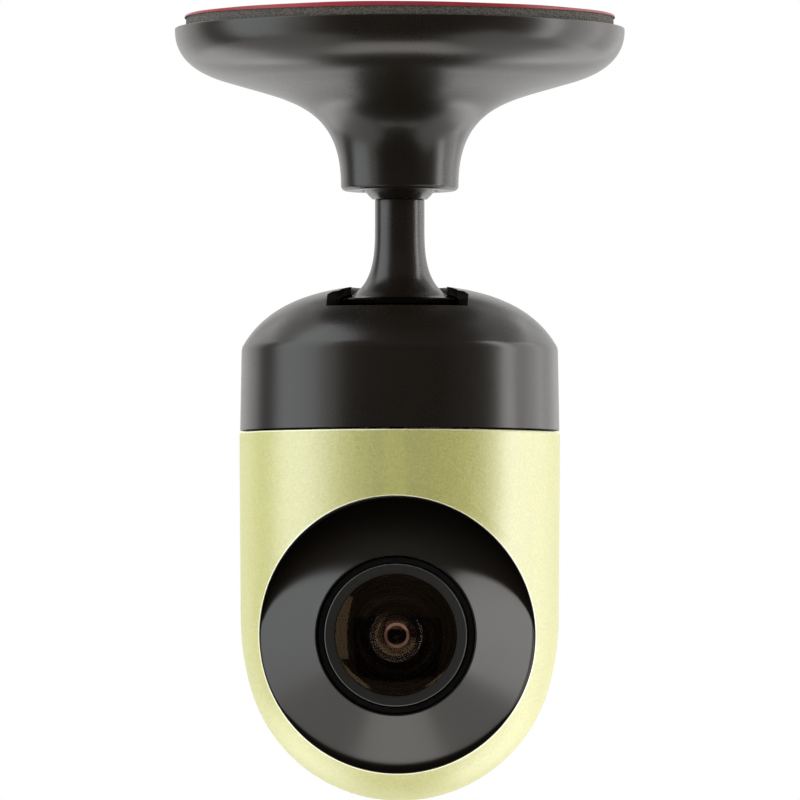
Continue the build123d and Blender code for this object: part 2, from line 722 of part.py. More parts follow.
keep(lower_shell.part, "lower_shell")

with BuildPart() as top_lid:
    with BuildSketch(Plane.XY.offset(lid_bottom)):
        Circle(shell_inner_radius - assembly_clearance)
        Circle(hub_radius + turn_clearance, mode=Mode.SUBTRACT)
    extrude(amount=lid_thickness)
    with Locations((0, 0, lid_top)):
        with PolarLocations(lid_screw_circle, 3, start_angle=90):
            CounterBoreHole(screw_radius + assembly_clearance, screw_head_radius + assembly_clearance,
                            screw_head_height + assembly_clearance, lid_thickness)
        with Locations((-9, 9.3, 0), (9, 9.3, 0)):
            CounterBoreHole(screw_radius + assembly_clearance, screw_head_radius + assembly_clearance,
                            screw_head_height + assembly_clearance, lid_thickness)
        with Locations((0, -stop_radius, 0)):
            Cylinder(stop_pin_radius, stop_pin_height, align=(Align.CENTER, Align.CENTER, Align.MIN))
keep(top_lid.part, "top_lid")

lid_head_z = lid_top - screw_head_height - slide_clearance
lid_screw_planes = [
    Plane(origin=place.position + Vector(0, 0, lid_head_z), z_dir=(0, 0, 1))
    for place in PolarLocations(lid_screw_circle, 3, start_angle=90).locations]
keep(Compound(children=[screw(plane, 4.2) for plane in lid_screw_planes]), "lid_screws")
keep(Compound(children=[screw(Plane(origin=(x, 9.3, lid_head_z), z_dir=(0, 0, 1)), 3.0) for x in (-9, 9)]),
     "chassis_screws")

# ---------------------------------------------------------------- lens unit, measured forward from the axis
with BuildPart() as lens_bezel:
    with BuildSketch(lens_section):
        with BuildLine():
            Polyline((bezel_radius, bezel_back_forward), (bezel_radius, bezel_edge_forward),
                     (bezel_nose_radius, bezel_nose_forward), (bezel_nose_radius, bezel_nose_forward - bezel_wall),
                     (bezel_radius - 2.17, bezel_edge_forward + 0.05),
                     (bezel_radius - 2.17, bezel_back_forward), close=True)
        make_face()
    revolve(axis=lens_axis)
    fillet(lens_bezel.edges().filter_by(GeomType.CIRCLE).sort_by(Axis.Y)[0], 0.12)
    with BuildSketch(lens_face.offset(bezel_back_forward)):
        with PolarLocations(bezel_screw_circle, 3, start_angle=30):
            Circle(bezel_screw_radius + slide_clearance)
    extrude(amount=bezel_screw_bite + assembly_clearance, mode=Mode.SUBTRACT)
keep(lens_bezel.part, "lens_bezel")

bezel_screw_planes = [
    Plane(origin=(bezel_screw_circle * math.cos(math.radians(turn)), -tunnel_back_forward + slide_clearance,
                  lens_z + bezel_screw_circle * math.sin(math.radians(turn))), z_dir=(0, 1, 0))
    for turn in (30, 150, 270)]
keep(Compound(children=[
    screw(plane, tunnel_floor + bezel_screw_bite, bezel_screw_radius, 0.95, 0.6) for plane in bezel_screw_planes]),
    "bezel_screws")
with BuildPart() as lens_seal:
    with BuildSketch(lens_section):
        with Locations(((barrel_radius + bezel_nose_radius) / 2, bezel_nose_forward - 1.4)):
            Rectangle(bezel_nose_radius - barrel_radius - 2 * seal_width_gap, bezel_wall - 0.7,
                      align=(Align.CENTER, Align.MAX))
    revolve(axis=lens_axis)
keep(lens_seal.part, "lens_seal")

glass_sag = front_glass_curve - math.sqrt(front_glass_curve ** 2 - front_glass_radius ** 2)
glass_edge = barrel_forward - 0.45
with BuildPart() as lens_barrel:
    with BuildSketch(lens_section):
        with BuildLine():
            Polyline((barrel_thread_radius, barrel_back_forward), (barrel_thread_radius, barrel_step_forward),
                     (barrel_radius, barrel_step_forward), (barrel_radius, barrel_forward),
                     (front_glass_radius + 0.02, barrel_forward - 0.2),
                     (front_glass_radius + 0.02, glass_edge - 4.9), (4.2, glass_edge - 4.9),
                     (4.2, barrel_back_forward), close=True)
        make_face()
    revolve(axis=lens_axis)
    chamfer(lens_barrel.edges().filter_by(GeomType.CIRCLE).sort_by(Axis.Y)[0], 0.12)
keep(lens_barrel.part, "lens_barrel")

with BuildPart() as front_lens:
    with BuildSketch(lens_section):
        with BuildLine():
            chord = front_glass_curve * math.sin(math.asin(front_glass_radius / front_glass_curve) / 2)
            chord_rise = math.sqrt(front_glass_curve ** 2 - chord ** 2) - front_glass_curve + glass_sag
            back_rise = 5.6 - math.sqrt(5.6 ** 2 - 4.4 ** 2)
            back_half = 5.6 * math.sin(math.asin(4.4 / 5.6) / 2)
            back_half_rise = math.sqrt(5.6 ** 2 - back_half ** 2) - 5.6 + back_rise
            ThreePointArc((front_glass_radius, glass_edge), (chord, glass_edge + chord_rise),
                          (0, glass_edge + glass_sag))
            Line((0, glass_edge + glass_sag), (0, glass_edge - 1.6 + back_rise))
            ThreePointArc((0, glass_edge - 1.6 + back_rise), (back_half, glass_edge - 1.6 + back_half_rise),
                          (4.4, glass_edge - 1.6))
            Polyline((4.4, glass_edge - 1.6), (front_glass_radius, glass_edge - 1.6),
                     (front_glass_radius, glass_edge))
        make_face()
    revolve(axis=lens_axis)
keep(front_lens.part, "front_lens")

baffle_front = glass_edge - 1.65
baffle_back = glass_edge - 4.85
with BuildPart() as lens_baffle:
    with BuildSketch(lens_section):
        with BuildLine():
            Polyline((front_glass_radius, baffle_front), (6.7, baffle_front), (3.4, baffle_front - 1.6),
                     (2.75, baffle_front - 1.6), (2.75, baffle_back), (front_glass_radius, baffle_back), close=True)
        make_face()
    revolve(axis=lens_axis)
keep(lens_baffle.part, "lens_baffle")


def lens_element(radius, front, thickness, curve):
    """A small glass with a domed front and a flat back; front is its edge's distance ahead of the axis."""
    sag = curve - math.sqrt(curve ** 2 - radius ** 2)
    half = curve * math.sin(math.asin(radius / curve) / 2)
    with BuildPart() as made:
        with BuildSketch(lens_section):
            with BuildLine():
                ThreePointArc((radius, front), (half, front + sag - curve + math.sqrt(curve ** 2 - half ** 2)),
                              (0, front + sag))
                Polyline((0, front + sag), (0, front - thickness), (radius, front - thickness), (radius, front))
            make_face()
        revolve(axis=lens_axis)
    return made.part


keep(lens_element(2.7, baffle_front - 2.0, 1.1, 4.0), "second_lens")
with BuildPart() as aperture_ring:
    with BuildSketch(lens_section):
        with BuildLine():
            Polyline((4.15, baffle_back - 0.05), (2.6, baffle_back - 0.05), (1.1, baffle_back - 0.7),
                     (1.1, baffle_back - 0.9), (4.15, baffle_back - 0.9), close=True)
        make_face()
    revolve(axis=lens_axis)
keep(aperture_ring.part, "aperture_ring")
keep(lens_element(4.1, baffle_back - 2.0, 1.0, 9.0), "third_lens")
keep(lens_element(4.1, baffle_back - 4.4, 1.8, 7.0), "rear_lens")

with BuildPart() as lens_holder:
    with BuildSketch(lens_face.offset(-sensor_board_front)):
        RectangleRounded(13, 10, 1.0)
    extrude(amount=1.6)
    with BuildSketch(lens_face.offset(0.6)):
        Circle(barrel_thread_radius + 1.4)
    extrude(amount=5.9)
    with BuildSketch(lens_face.offset(1.4)):
        Circle(barrel_thread_radius + slide_clearance)
    extrude(amount=6, mode=Mode.SUBTRACT)
    with BuildSketch(lens_face.offset(-sensor_board_front)):
        Circle(4.5)
    extrude(amount=4, mode=Mode.SUBTRACT)
keep(lens_holder.part, "lens_holder")

with BuildPart() as ir_filter:
    with BuildSketch(lens_face.offset(0.6)):
        Circle(4.45)
    extrude(amount=0.4)
keep(ir_filter.part, "infrared_filter")

# ---------------------------------------------------------------- boards and what is on them
keep(box_between((-3.1, sensor_board_front - 0.9, lens_z - 2.6), (3.1, sensor_board_front, lens_z + 2.6)),
     "image_sensor")
sensor_half = sensor_board_size / 2
sensor_screw_spots = [(x, lens_z + z) for x in (-6.7, 6.7) for z in (-6.35, 6.35)]
with BuildPart() as sensor_board:
    add(box_between((-sensor_half, sensor_board_front, lens_z - sensor_half),
                    (sensor_half, sensor_board_back, lens_z + sensor_half)))
    with BuildSketch(Plane.XZ):
        with Locations(*sensor_screw_spots):
            Circle(0.65)
    extrude(amount=-10, mode=Mode.SUBTRACT)
keep(sensor_board.part, "sensor_board")
keep(Compound(children=[
    screw(Plane(origin=(x, sensor_board_front, z), z_dir=(0, -1, 0)), 2.6, 0.6, 1.1, 0.7)
    for x, z in sensor_screw_spots]), "sensor_screws")

post_inner, post_outer = 11.0, 12.8
post_back = 9.3
bar_back = 4.6
shelf_top = plug_socket_top - 4.4
board_screw_spots = [(x, z) for x in (-9.9, 9.9) for z in (main_board_top - 1.5, main_board_bottom + 1.5)]
with BuildPart() as chassis:
    add(box_between((-post_outer, 8.2, lid_bottom - 2.5), (post_outer, 10.4, lid_bottom - slide_clearance)))
    for side in (-1, 1):
        low_x, high_x = sorted((side * post_inner, side * post_outer))
        add(box_between((low_x, bar_back, main_board_bottom), (high_x, post_back, lid_bottom - slide_clearance)))
        add(box_between((low_x, sensor_board_back, lens_z - sensor_half + 0.6),
                        (high_x, bar_back + 1.5, lens_z + sensor_half - 0.6)))
    for bar_z in (lens_z - 6.35, lens_z + 6.35):
        add(box_between((-post_outer, sensor_board_back, bar_z - 1.0), (post_outer, bar_back, bar_z + 1.0)))
    for x, z in board_screw_spots:
        low_x, high_x = sorted((math.copysign(8.6, x), math.copysign(post_outer, x)))
        add(box_between((low_x, 7.5, z - 1.2), (high_x, main_board_front, z + 1.2)))
    add(box_between((-post_outer, bar_back, shelf_top - 1.2), (post_outer, post_back, shelf_top)))
    add(box_between((-4, -2.0, shelf_top - 1.2), (4, bar_back, shelf_top)))
    with BuildSketch(Plane.XZ):
        with Locations(*sensor_screw_spots):
            Circle(0.6 + slide_clearance)
    extrude(amount=-bar_back + 0.4, mode=Mode.SUBTRACT)
    with BuildSketch(Plane.XZ.offset(-main_board_front)):
        with Locations(*board_screw_spots):
            Circle(0.6 + slide_clearance)
    extrude(amount=3.0, mode=Mode.SUBTRACT)
    with Locations((-9, 9.3, lid_bottom), (9, 9.3, lid_bottom)):
        Cylinder(screw_radius + slide_clearance, 4.6, mode=Mode.SUBTRACT)
keep(chassis.part, "chassis")

with BuildPart() as main_board:
    add(box_between((-main_board_width / 2, main_board_front, main_board_bottom),
                    (main_board_width / 2, main_board_back, main_board_top)))
    with BuildSketch(Plane.XZ):
        with Locations(*board_screw_spots):
            Circle(0.65)
    extrude(amount=-20, mode=Mode.SUBTRACT)
keep(main_board.part, "main_board")
keep(Compound(children=[
    screw(Plane(origin=(x, main_board_back, z), z_dir=(0, 1, 0)), 3.4, 0.6, 1.1, 0.7)
    for x, z in board_screw_spots]), "board_screws")

keep(box_between((1.4, main_board_back, speaker_z - 1.0), (8.6, main_board_back + 1.2, speaker_z + 6.5)),
     "processor")
keep(box_between((-8.3, main_board_back, speaker_z - 1.0), (-1.2, main_board_back + 1.0, speaker_z + 5.0)),
     "memory_chip")
keep(box_between((-10.4, main_board_front - 1.8, card_z - 5.5), (-4.0, main_board_front, card_z + 5.0)),
     "wifi_module")
keep(box_between((5.8, main_board_back, button_z - 1.5), (9.2, main_board_back + 1.0, button_z + 1.5)),
     "microphone")
keep(box_between((-0.8, main_board_back, led_z - 0.5), (0.8, main_board_back + 0.6, led_z + 0.5)),
     "status_led")
with BuildPart() as light_pipe:
    with BuildSketch(Plane.XZ.offset(-(main_board_back + 0.7))):
        with Locations((0, led_z)):
            Circle(0.9)
    extrude(amount=-(shell_radius - main_board_back - 0.75))
keep(light_pipe.part, "light_pipe")

speaker_back = shell_inner_radius - 1.35
with BuildPart() as speaker:
    with BuildSketch(Plane.XZ.offset(-(speaker_back - 2.2))):
        with Locations((0, speaker_z)):
            Circle(4.6)
    extrude(amount=-2.2)
    fillet(speaker.edges().filter_by(GeomType.CIRCLE).sort_by(Axis.Y)[-1], 0.5)
keep(speaker.part, "speaker")

with BuildPart() as tact_switch:
    add(box_between((-2.25, main_board_back, button_z - 2.25), (2.25, main_board_back + 1.5, button_z + 2.25)))
    with BuildSketch(Plane.XZ.offset(-(main_board_back + 1.5))):
        with Locations((0, button_z)):
            Circle(1.1)
    extrude(amount=-0.4)
keep(tact_switch.part, "tact_switch")

button_back = shell_radius + 0.25
button_front = main_board_back + 1.9 + button_travel + 0.15
with BuildPart() as power_button:
    with BuildSketch(Plane.XZ.offset(-button_front)):
        with Locations((0, button_z)):
            Circle(button_radius)
    extrude(amount=-(button_back - button_front))
    with BuildSketch(Plane.XZ.offset(-button_front)):
        with Locations((0, button_z)):
            Circle(button_flange_radius)
    extrude(amount=-(shell_inner_radius - 0.95 - button_front))
    fillet(power_button.edges().filter_by(GeomType.CIRCLE).sort_by(Axis.Y)[-1], 0.4)
keep(power_button.part, "power_button")

with BuildPart() as card_socket:
    add(box_between((card_edge - 19.0, card_plane - 0.75, card_z - 5.9), (card_edge - 4.5, main_board_front, card_z + 5.9)))
    add(box_between((card_edge - 17.0, card_plane - card_thickness / 2 - 0.1, card_z - card_width / 2 - 0.1),
                    (card_edge, card_plane + card_thickness / 2 + 0.1, card_z + card_width / 2 + 0.1)),
        mode=Mode.SUBTRACT)
keep(card_socket.part, "card_socket")

card_outer = card_edge + 0.25
with BuildPart() as memory_card:
    with BuildSketch(Plane.XZ.offset(-(card_plane - card_thickness / 2))):
        with Locations((card_outer - card_length / 2, card_z)):
            RectangleRounded(card_length, card_width, 0.6)
    extrude(amount=-card_thickness)
keep(memory_card.part, "memory_card")

with BuildPart() as supercapacitors:
    with Locations(*[(side * supercap_offset, 0, hub_bottom - 0.4) for side in (-1, 1)]):
        Cylinder(supercap_radius, supercap_length, align=(Align.CENTER, Align.CENTER, Align.MAX))
    fillet(supercapacitors.edges().filter_by(GeomType.CIRCLE).group_by(Axis.Z)[-1], 0.5)
keep(supercapacitors.part, "supercapacitors")

keep(box_between((-3.0, -1.8, shelf_top + 0.02), (3.0, 1.8, plug_socket_top - 0.05)), "harness_plug")

with BuildPart() as sensor_flex:
    with BuildSketch(Plane.YZ):
        with BuildLine():
            FilletPolyline((sensor_board_back + 0.1, lens_z + 1.5), (sensor_board_back + 0.1, lens_z - 3.0),
                           (main_board_front - 0.1, lens_z - 3.0), (main_board_front - 0.1, lens_z + 1.0),
                           radius=1.2)
        trace(line_width=0.15)
    extrude(amount=4, both=True)
keep(sensor_flex.part, "sensor_flex")

for piece in pieces:
    export_step(piece, f"parts/{piece.label}.step")
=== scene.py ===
"""The looks of a windscreen dash camera: an add-on with one tool for each piece and one for the stage."""

import math

import bpy
import numpy as np
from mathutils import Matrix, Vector


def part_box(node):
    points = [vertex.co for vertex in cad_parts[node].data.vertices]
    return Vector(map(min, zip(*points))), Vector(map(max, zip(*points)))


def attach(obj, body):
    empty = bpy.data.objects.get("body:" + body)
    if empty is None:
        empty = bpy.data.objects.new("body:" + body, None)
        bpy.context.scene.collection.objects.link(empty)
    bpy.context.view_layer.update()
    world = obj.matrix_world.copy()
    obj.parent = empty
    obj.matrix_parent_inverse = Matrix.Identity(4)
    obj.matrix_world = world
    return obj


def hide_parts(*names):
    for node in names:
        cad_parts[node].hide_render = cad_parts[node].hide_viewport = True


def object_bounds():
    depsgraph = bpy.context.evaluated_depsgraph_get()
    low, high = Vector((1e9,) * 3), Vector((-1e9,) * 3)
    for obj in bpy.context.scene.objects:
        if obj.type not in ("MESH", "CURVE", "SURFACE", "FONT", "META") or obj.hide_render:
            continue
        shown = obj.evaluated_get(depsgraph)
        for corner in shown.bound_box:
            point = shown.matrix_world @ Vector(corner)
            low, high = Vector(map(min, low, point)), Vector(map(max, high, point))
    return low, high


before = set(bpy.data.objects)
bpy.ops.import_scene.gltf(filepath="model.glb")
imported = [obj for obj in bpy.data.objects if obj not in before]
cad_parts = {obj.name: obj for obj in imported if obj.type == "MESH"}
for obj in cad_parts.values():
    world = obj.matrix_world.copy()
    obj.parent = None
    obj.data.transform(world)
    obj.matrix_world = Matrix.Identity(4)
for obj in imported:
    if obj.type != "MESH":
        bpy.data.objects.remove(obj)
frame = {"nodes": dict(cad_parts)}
cad_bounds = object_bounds()

bl_info = {
    "name": "Dash camera looks",
    "version": (1, 0, 0),
    "blender": (4, 5, 0),
    "location": "3D View > Sidebar > Dash camera",
    "description": "Builds the pieces, finishes and studio of a windscreen dash camera",
    "category": "Object",
}

MM = 0.001


# ---------------------------------------------------------------- curves, as arrays of points in millimetres
def bezier(start, handle, other_handle, end, steps):
    """A cubic curve: the four points weighed by the cubic shares of how far along the curve it is."""
    t = np.linspace(0, 1, steps)[:, None]
    points = [np.array(p, float) for p in (start, handle, other_handle, end)]
    return (points[0] * (1 - t) ** 3 + points[1] * 3 * t * (1 - t) ** 2
            + points[2] * 3 * t ** 2 * (1 - t) + points[3] * t ** 3)


def arc(centre, radius, start, end, steps):
    """A part of a circle: the centre plus the radius times the cosine and sine of evenly spaced angles."""
    turn = np.radians(np.linspace(start, end, steps))
    return np.stack([centre[0] + radius * np.cos(turn), centre[1] + radius * np.sin(turn)], 1)


def chain(*parts):
    """Several curves and single points joined into one list of points."""
    return np.concatenate([np.atleast_2d(np.array(p, float)) for p in parts])


def around(steps):
    """Evenly spaced angles of one full turn, without the last, which is the first again."""
    return np.arange(steps) * (2 * math.pi / steps)


# ---------------------------------------------------------------- meshes
def weave(name, points, loop_rows, loop_columns, crease=40):
    """A grid of points made into a mesh. Neighbours in rows and columns share faces, a row of one repeated
    point becomes a pole, and if the volume that the faces enclose comes out negative they are turned over."""
    rows, columns = points.shape[:2]
    index = np.arange(rows * columns).reshape(rows, columns)
    pole = np.ptp(points, axis=1).max(axis=1) < 1e-6
    index[pole] = index[pole][:, :1]
    below = np.roll(index, -1, 0) if loop_rows else index[1:]
    here = index if loop_rows else index[:-1]
    if loop_columns:
        across, below_across = np.roll(here, -1, 1), np.roll(below, -1, 1)
    else:
        here, across, below, below_across = here[:, :-1], here[:, 1:], below[:, :-1], below[:, 1:]
    quads = np.stack([here, across, below_across, below], -1).reshape(-1, 4)
    flat = points.reshape(-1, 3) * MM
    corner = flat[quads]
    volume = (np.cross(corner[:, 0], corner[:, 1]) * corner[:, 2]).sum() + (
        np.cross(corner[:, 0], corner[:, 2]) * corner[:, 3]).sum()
    if volume < 0:
        quads = quads[:, ::-1]
    used, compact = np.unique(quads, return_inverse=True)
    quads = compact.reshape(quads.shape)
    # a quad with two corners in one point becomes a triangle, or goes if it has two such pairs
    tall = quads[:, 0] == quads[:, 1]
    wide = quads[:, 2] == quads[:, 3]
    side = quads[:, 1] == quads[:, 2]
    last = quads[:, 3] == quads[:, 0]
    faces = quads[~(tall | wide | side | last)].tolist()
    faces += quads[tall & ~wide][:, 1:].tolist() + quads[wide & ~tall][:, :3].tolist()
    faces += quads[side & ~last][:, [0, 1, 3]].tolist() + quads[last & ~side][:, :3].tolist()
    mesh = bpy.data.meshes.new(name)
    mesh.from_pydata(flat[used], [], faces)
    mesh.polygons.foreach_set("use_smooth", np.ones(len(mesh.polygons), bool))
    mesh.set_sharp_from_angle(angle=math.radians(crease))
    mesh.update()
    piece = bpy.data.objects.new(name, mesh)
    bpy.context.scene.collection.objects.link(piece)
    return piece


def carried_round(radius, height, turn):
    """Points on upright circles: the radius times the angle's cosine and sine, at the height."""
    return np.stack([radius * np.cos(turn), radius * np.sin(turn), height + 0 * turn], -1)


def turned(name, profile, steps):
    """A closed shape turned about the upright axis: each profile point is a radius and a height."""
    return weave(name, carried_round(profile[:, :1], profile[:, 1:], around(steps)), True, True, 35)


def turned_forward(name, profile, axis_height, steps, closed=True, crease=35):
    """A shape turned about a level axis: each profile point is a radius and a distance ahead."""
    turn = around(steps)
    radius, ahead = profile[:, :1], profile[:, 1:]
    points = np.stack([radius * np.cos(turn), -ahead + 0 * turn, axis_height + radius * np.sin(turn)], -1)
    return weave(name, points, closed, True, crease)


def dome(edge, radius, curve, steps):
    """The arc of a lens's face from its axis to its edge: the centre lies one curve radius behind its top."""
    sag = curve - math.sqrt(curve ** 2 - radius ** 2)
    spread = math.degrees(math.asin(radius / curve))
    return arc((0, edge + sag - curve), curve, 90, 90 - spread, steps)


def low(node):
    """A CAD node's lowest corner in millimetres."""
    return np.array(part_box(node)[0]) / MM


def high(node):
    """A CAD node's highest corner in millimetres."""
    return np.array(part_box(node)[1]) / MM


def mid_height(node):
    """The height of a CAD node's middle in millimetres."""
    return (low(node)[2] + high(node)[2]) / 2


def paint(piece, material):
    """One material over a whole piece."""
    piece.data.materials.clear()
    piece.data.materials.append(material)


def settle(piece, body, slot, *nodes):
    """The piece rides on its body and stands for the CAD nodes, which it hides; the slot is not used."""
    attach(piece, body)
    if nodes:
        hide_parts(*nodes)
    return piece


# ---------------------------------------------------------------- finishes
class Number:
    """One number of a material. Python's operators on it add the Math nodes that work the sum out."""

    def __init__(self, finish, socket):
        self.finish = finish
        self.socket = socket

    def sum_of(self, operation, first, second=None, clamp=False):
        """The result of one Math node on one or two values."""
        values = {0: first} if second is None else {0: first, 1: second}
        node = self.finish.node("ShaderNodeMath", {"operation": operation, "use_clamp": clamp}, values)
        return Number(self.finish, node.outputs[0])

    def __add__(self, other):
        return self.sum_of("ADD", self, other)

    __radd__ = __add__

    def __sub__(self, other):
        return self.sum_of("SUBTRACT", self, other)

    def __rsub__(self, other):
        return self.sum_of("SUBTRACT", other, self)

    def __mul__(self, other):
        return self.sum_of("MULTIPLY", self, other)

    __rmul__ = __mul__

    def __pow__(self, other):
        return self.sum_of("POWER", self, other)

    def __gt__(self, other):
        return self.sum_of("GREATER_THAN", self, other)

    def __lt__(self, other):
        return self.sum_of("LESS_THAN", self, other)

    def sine(self):
        return self.sum_of("SINE", self)

    def kept(self):
        """The number held between 0 and 1."""
        return self.sum_of("ADD", self, 0.0, True)


class Finish:
    """One procedural material on Object coordinates, which are metres on this part."""

    def __init__(self, name, **constants):
        self.material = bpy.data.materials.new(name)
        self.material.use_nodes = True
        self.tree = self.material.node_tree
        self.shader = self.tree.nodes["Principled BSDF"]
        self.place = self.node("ShaderNodeTexCoord").outputs["Object"]
        for socket, value in constants.items():
            self.shader.inputs[socket.replace("_", " ")].default_value = value

    def node(self, kind, settings=None, values=None):
        """Any node: its settings first, then the values or links of its sockets by name or number."""
        made = self.tree.nodes.new(kind)
        for name, value in (settings or {}).items():
            if name == "stops":
                ramp = made.color_ramp
                while len(ramp.elements) < len(value):
                    ramp.elements.new(1.0)
                for element, (position, colour) in zip(ramp.elements, value):
                    element.position = position
                    element.color = colour
            else:
                setattr(made, name, value)
        for name, value in (values or {}).items():
            self.feed(made.inputs[name], value)
        return made

    def feed(self, socket, value):
        """A socket takes a number, a colour, or a link."""
        if isinstance(value, Number):
            value = value.socket
        if isinstance(value, bpy.types.NodeSocket):
            self.tree.links.new(value, socket)
        else:
            socket.default_value = value

    def set(self, name, value):
        """One of the shader's own sockets."""
        self.feed(self.shader.inputs[name], value)

    def cloud(self, size, detail=2.0, roughness=0.5, place=None):
        """Soft noise whose blotches are about this many millimetres across, from 0 to 1."""
        node = self.node("ShaderNodeTexNoise", None, {
            "Vector": place or self.place, "Scale": 1 / (size * MM), "Detail": detail,
            "Roughness": roughness})
        return Number(self, node.outputs[0])

    def cells(self, size, output="Distance"):
        """Cells this many millimetres across: the distance to the nearest one's middle, or its own colour."""
        node = self.node("ShaderNodeTexVoronoi", None, {"Vector": self.place, "Scale": 1 / (size * MM)})
        return node.outputs[output]

    def red_of(self, colour):
        """The first channel of a colour, as a number."""
        return Number(self, self.node("ShaderNodeSeparateColor", None, {0: colour}).outputs[0])

    def axes(self):
        """The three coordinates in millimetres."""
        node = self.node("ShaderNodeSeparateXYZ", None, {0: self.place})
        return [Number(self, output) * (1 / MM) for output in node.outputs]

    def off_axis(self, axis_height):
        """The distance in millimetres from the level axis at this height: the root of the squares' sum."""
        x, _, z = self.axes()
        rise = z - axis_height
        return (x * x + rise * rise) ** 0.5

    def between(self, share, first, second):
        """A colour part of the way from the first to the second."""
        node = self.node("ShaderNodeMix", {"data_type": "RGBA"}, {"Factor": share})
        self.feed(node.inputs[6], first)
        self.feed(node.inputs[7], second)
        return node.outputs[2]

    def look(self, colour, roughness, height=None, depth=0.0):
        """The colour, the gloss, and a height from 0 to 1 that stands this many millimetres deep."""
        self.set("Base Color", colour)
        self.set("Roughness", roughness)
        if height is not None:
            values = {"Height": height, "Distance": depth * MM, "Strength": 1.0}
            self.set("Normal", self.node("ShaderNodeBump", None, values).outputs[0])
        return self.material


def rgba(colour):
    """The colour with its alpha."""
    return (colour[0], colour[1], colour[2], 1.0)


def scaled(colour, factor):
    """The colour made darker or lighter by a factor."""
    return (colour[0] * factor, colour[1] * factor, colour[2] * factor, 1.0)


def moulded(name, colour, roughness, grain=0.35, depth=0.004):
    """Moulded plastic: a fine spark-eroded grain, gloss that drifts a little, and a faint cloud of colour."""
    finish = Finish(name, IOR=1.5)
    drift = finish.cloud(9.0, 3.0)
    grain_height = finish.cloud(grain, 3.0, 0.6)
    return finish.look(finish.between(drift, scaled(colour, 0.82), scaled(colour, 1.18)),
                       roughness + (drift - 0.5) * 0.06 + (grain_height - 0.5) * 0.03, grain_height, depth)


def satin_black(name, settings, softer=0.0, depth=0.0010):
    """The black mouldings' satin plastic, with a fine shallow grain."""
    return moulded(name, settings.colour, settings.roughness + softer, 0.22, depth)


def metal(name, colour, roughness, turned_about="Z"):
    """Metal with fine tool marks: noise drawn out along the marks, in colour, gloss and height."""
    finish = Finish(name, Metallic=1.0)
    stretch = {"X": (1, 14, 14), "Y": (14, 1, 14), "Z": (14, 14, 1)}[turned_about]
    place = finish.node("ShaderNodeMapping", None, {"Vector": finish.place, "Scale": stretch}).outputs[0]
    marks = finish.cloud(2.0, 3.0, 0.6, place)
    smudge = finish.cloud(3.0, 2.0)
    return finish.look(finish.between(marks, scaled(colour, 0.75), scaled(colour, 1.1)),
                       roughness + (marks - 0.5) * 0.2 + (smudge - 0.5) * 0.1, marks, 0.004)


def glass(name, tint, coating, gleam=(1, 1, 1)):
    """Coated glass: clear, with a coating that wanders slowly and tints its gleam, and a trace of dust."""
    finish = Finish(name, Transmission_Weight=1.0, IOR=1.45, Specular_Tint=rgba(gleam))
    drift = finish.cloud(4.0, 1.0)
    smear = finish.cloud(2.5, 1.0)
    return finish.look(finish.between(drift, rgba(tint), rgba(coating)), 0.022 + 0.012 * smear)


# ---------------------------------------------------------------- settings
class PadSettings(bpy.types.PropertyGroup):
    film_colour: bpy.props.FloatVectorProperty(
        name="Film colour", description="Colour of the peel-off film", subtype="COLOR", size=3,
        default=(0.27, 0.017, 0.026), min=0, max=1)
    film_ripple: bpy.props.FloatProperty(
        name="Film ripple", description="How far the film lifts at its edge, in millimetres",
        default=0.20, min=0, max=1)
    film_roll: bpy.props.FloatProperty(
        name="Film roll", description="How far the film's edge is rolled down over the foam, in millimetres",
        default=0.42, min=0, max=1)
    foam_colour: bpy.props.FloatVectorProperty(
        name="Foam colour", description="Colour of the foam pad", subtype="COLOR", size=3,
        default=(0.062, 0.057, 0.050), min=0, max=1)
    pore_size: bpy.props.FloatProperty(
        name="Pore size", description="Size of the foam's open cells, in millimetres", default=0.28,
        min=0.05, max=2)


class MouldingSettings(bpy.types.PropertyGroup):
    colour: bpy.props.FloatVectorProperty(
        name="Black", description="Colour of the satin black mouldings", subtype="COLOR", size=3,
        default=(0.0085, 0.0066, 0.0048), min=0, max=1)
    roughness: bpy.props.FloatProperty(
        name="Roughness", description="How soft the sheen of the black mouldings is", default=0.28,
        min=0, max=1, subtype="FACTOR")


class ShellSettings(bpy.types.PropertyGroup):
    paint: bpy.props.FloatVectorProperty(
        name="Paint", description="Colour of the metallic paint", subtype="COLOR", size=3,
        default=(0.405, 0.400, 0.072), min=0, max=1)
    flake_size: bpy.props.FloatProperty(
        name="Flake size", description="Size of the paint's metal flakes, in millimetres", default=0.20,
        min=0.01, max=1)


class LensSettings(bpy.types.PropertyGroup):
    coating: bpy.props.FloatVectorProperty(
        name="Coating", description="Tint of the lens coating", subtype="COLOR", size=3,
        default=(0.60, 0.48, 0.36), min=0, max=1)
    ridges: bpy.props.IntProperty(
        name="Baffle ridges", description="Light-catching ridges behind the front glass", default=5,
        min=0, max=20)


class StageSettings(bpy.types.PropertyGroup):
    distance: bpy.props.FloatProperty(
        name="Camera distance", description="From the camera to the object's axis", default=1.19,
        min=0.2, max=10, unit="LENGTH")
    camera_height: bpy.props.FloatProperty(
        name="Camera height", description="The camera's height in the part's frame", default=-0.079,
        unit="LENGTH")
    turn: bpy.props.FloatProperty(
        name="Camera turn", description="How far the camera stands round to the right",
        default=math.radians(1.7), subtype="ANGLE")
    frame_width: bpy.props.FloatProperty(
        name="Frame width", description="Width of what the camera sees at the object's axis", default=0.0952,
        min=0.01, max=1, unit="LENGTH")


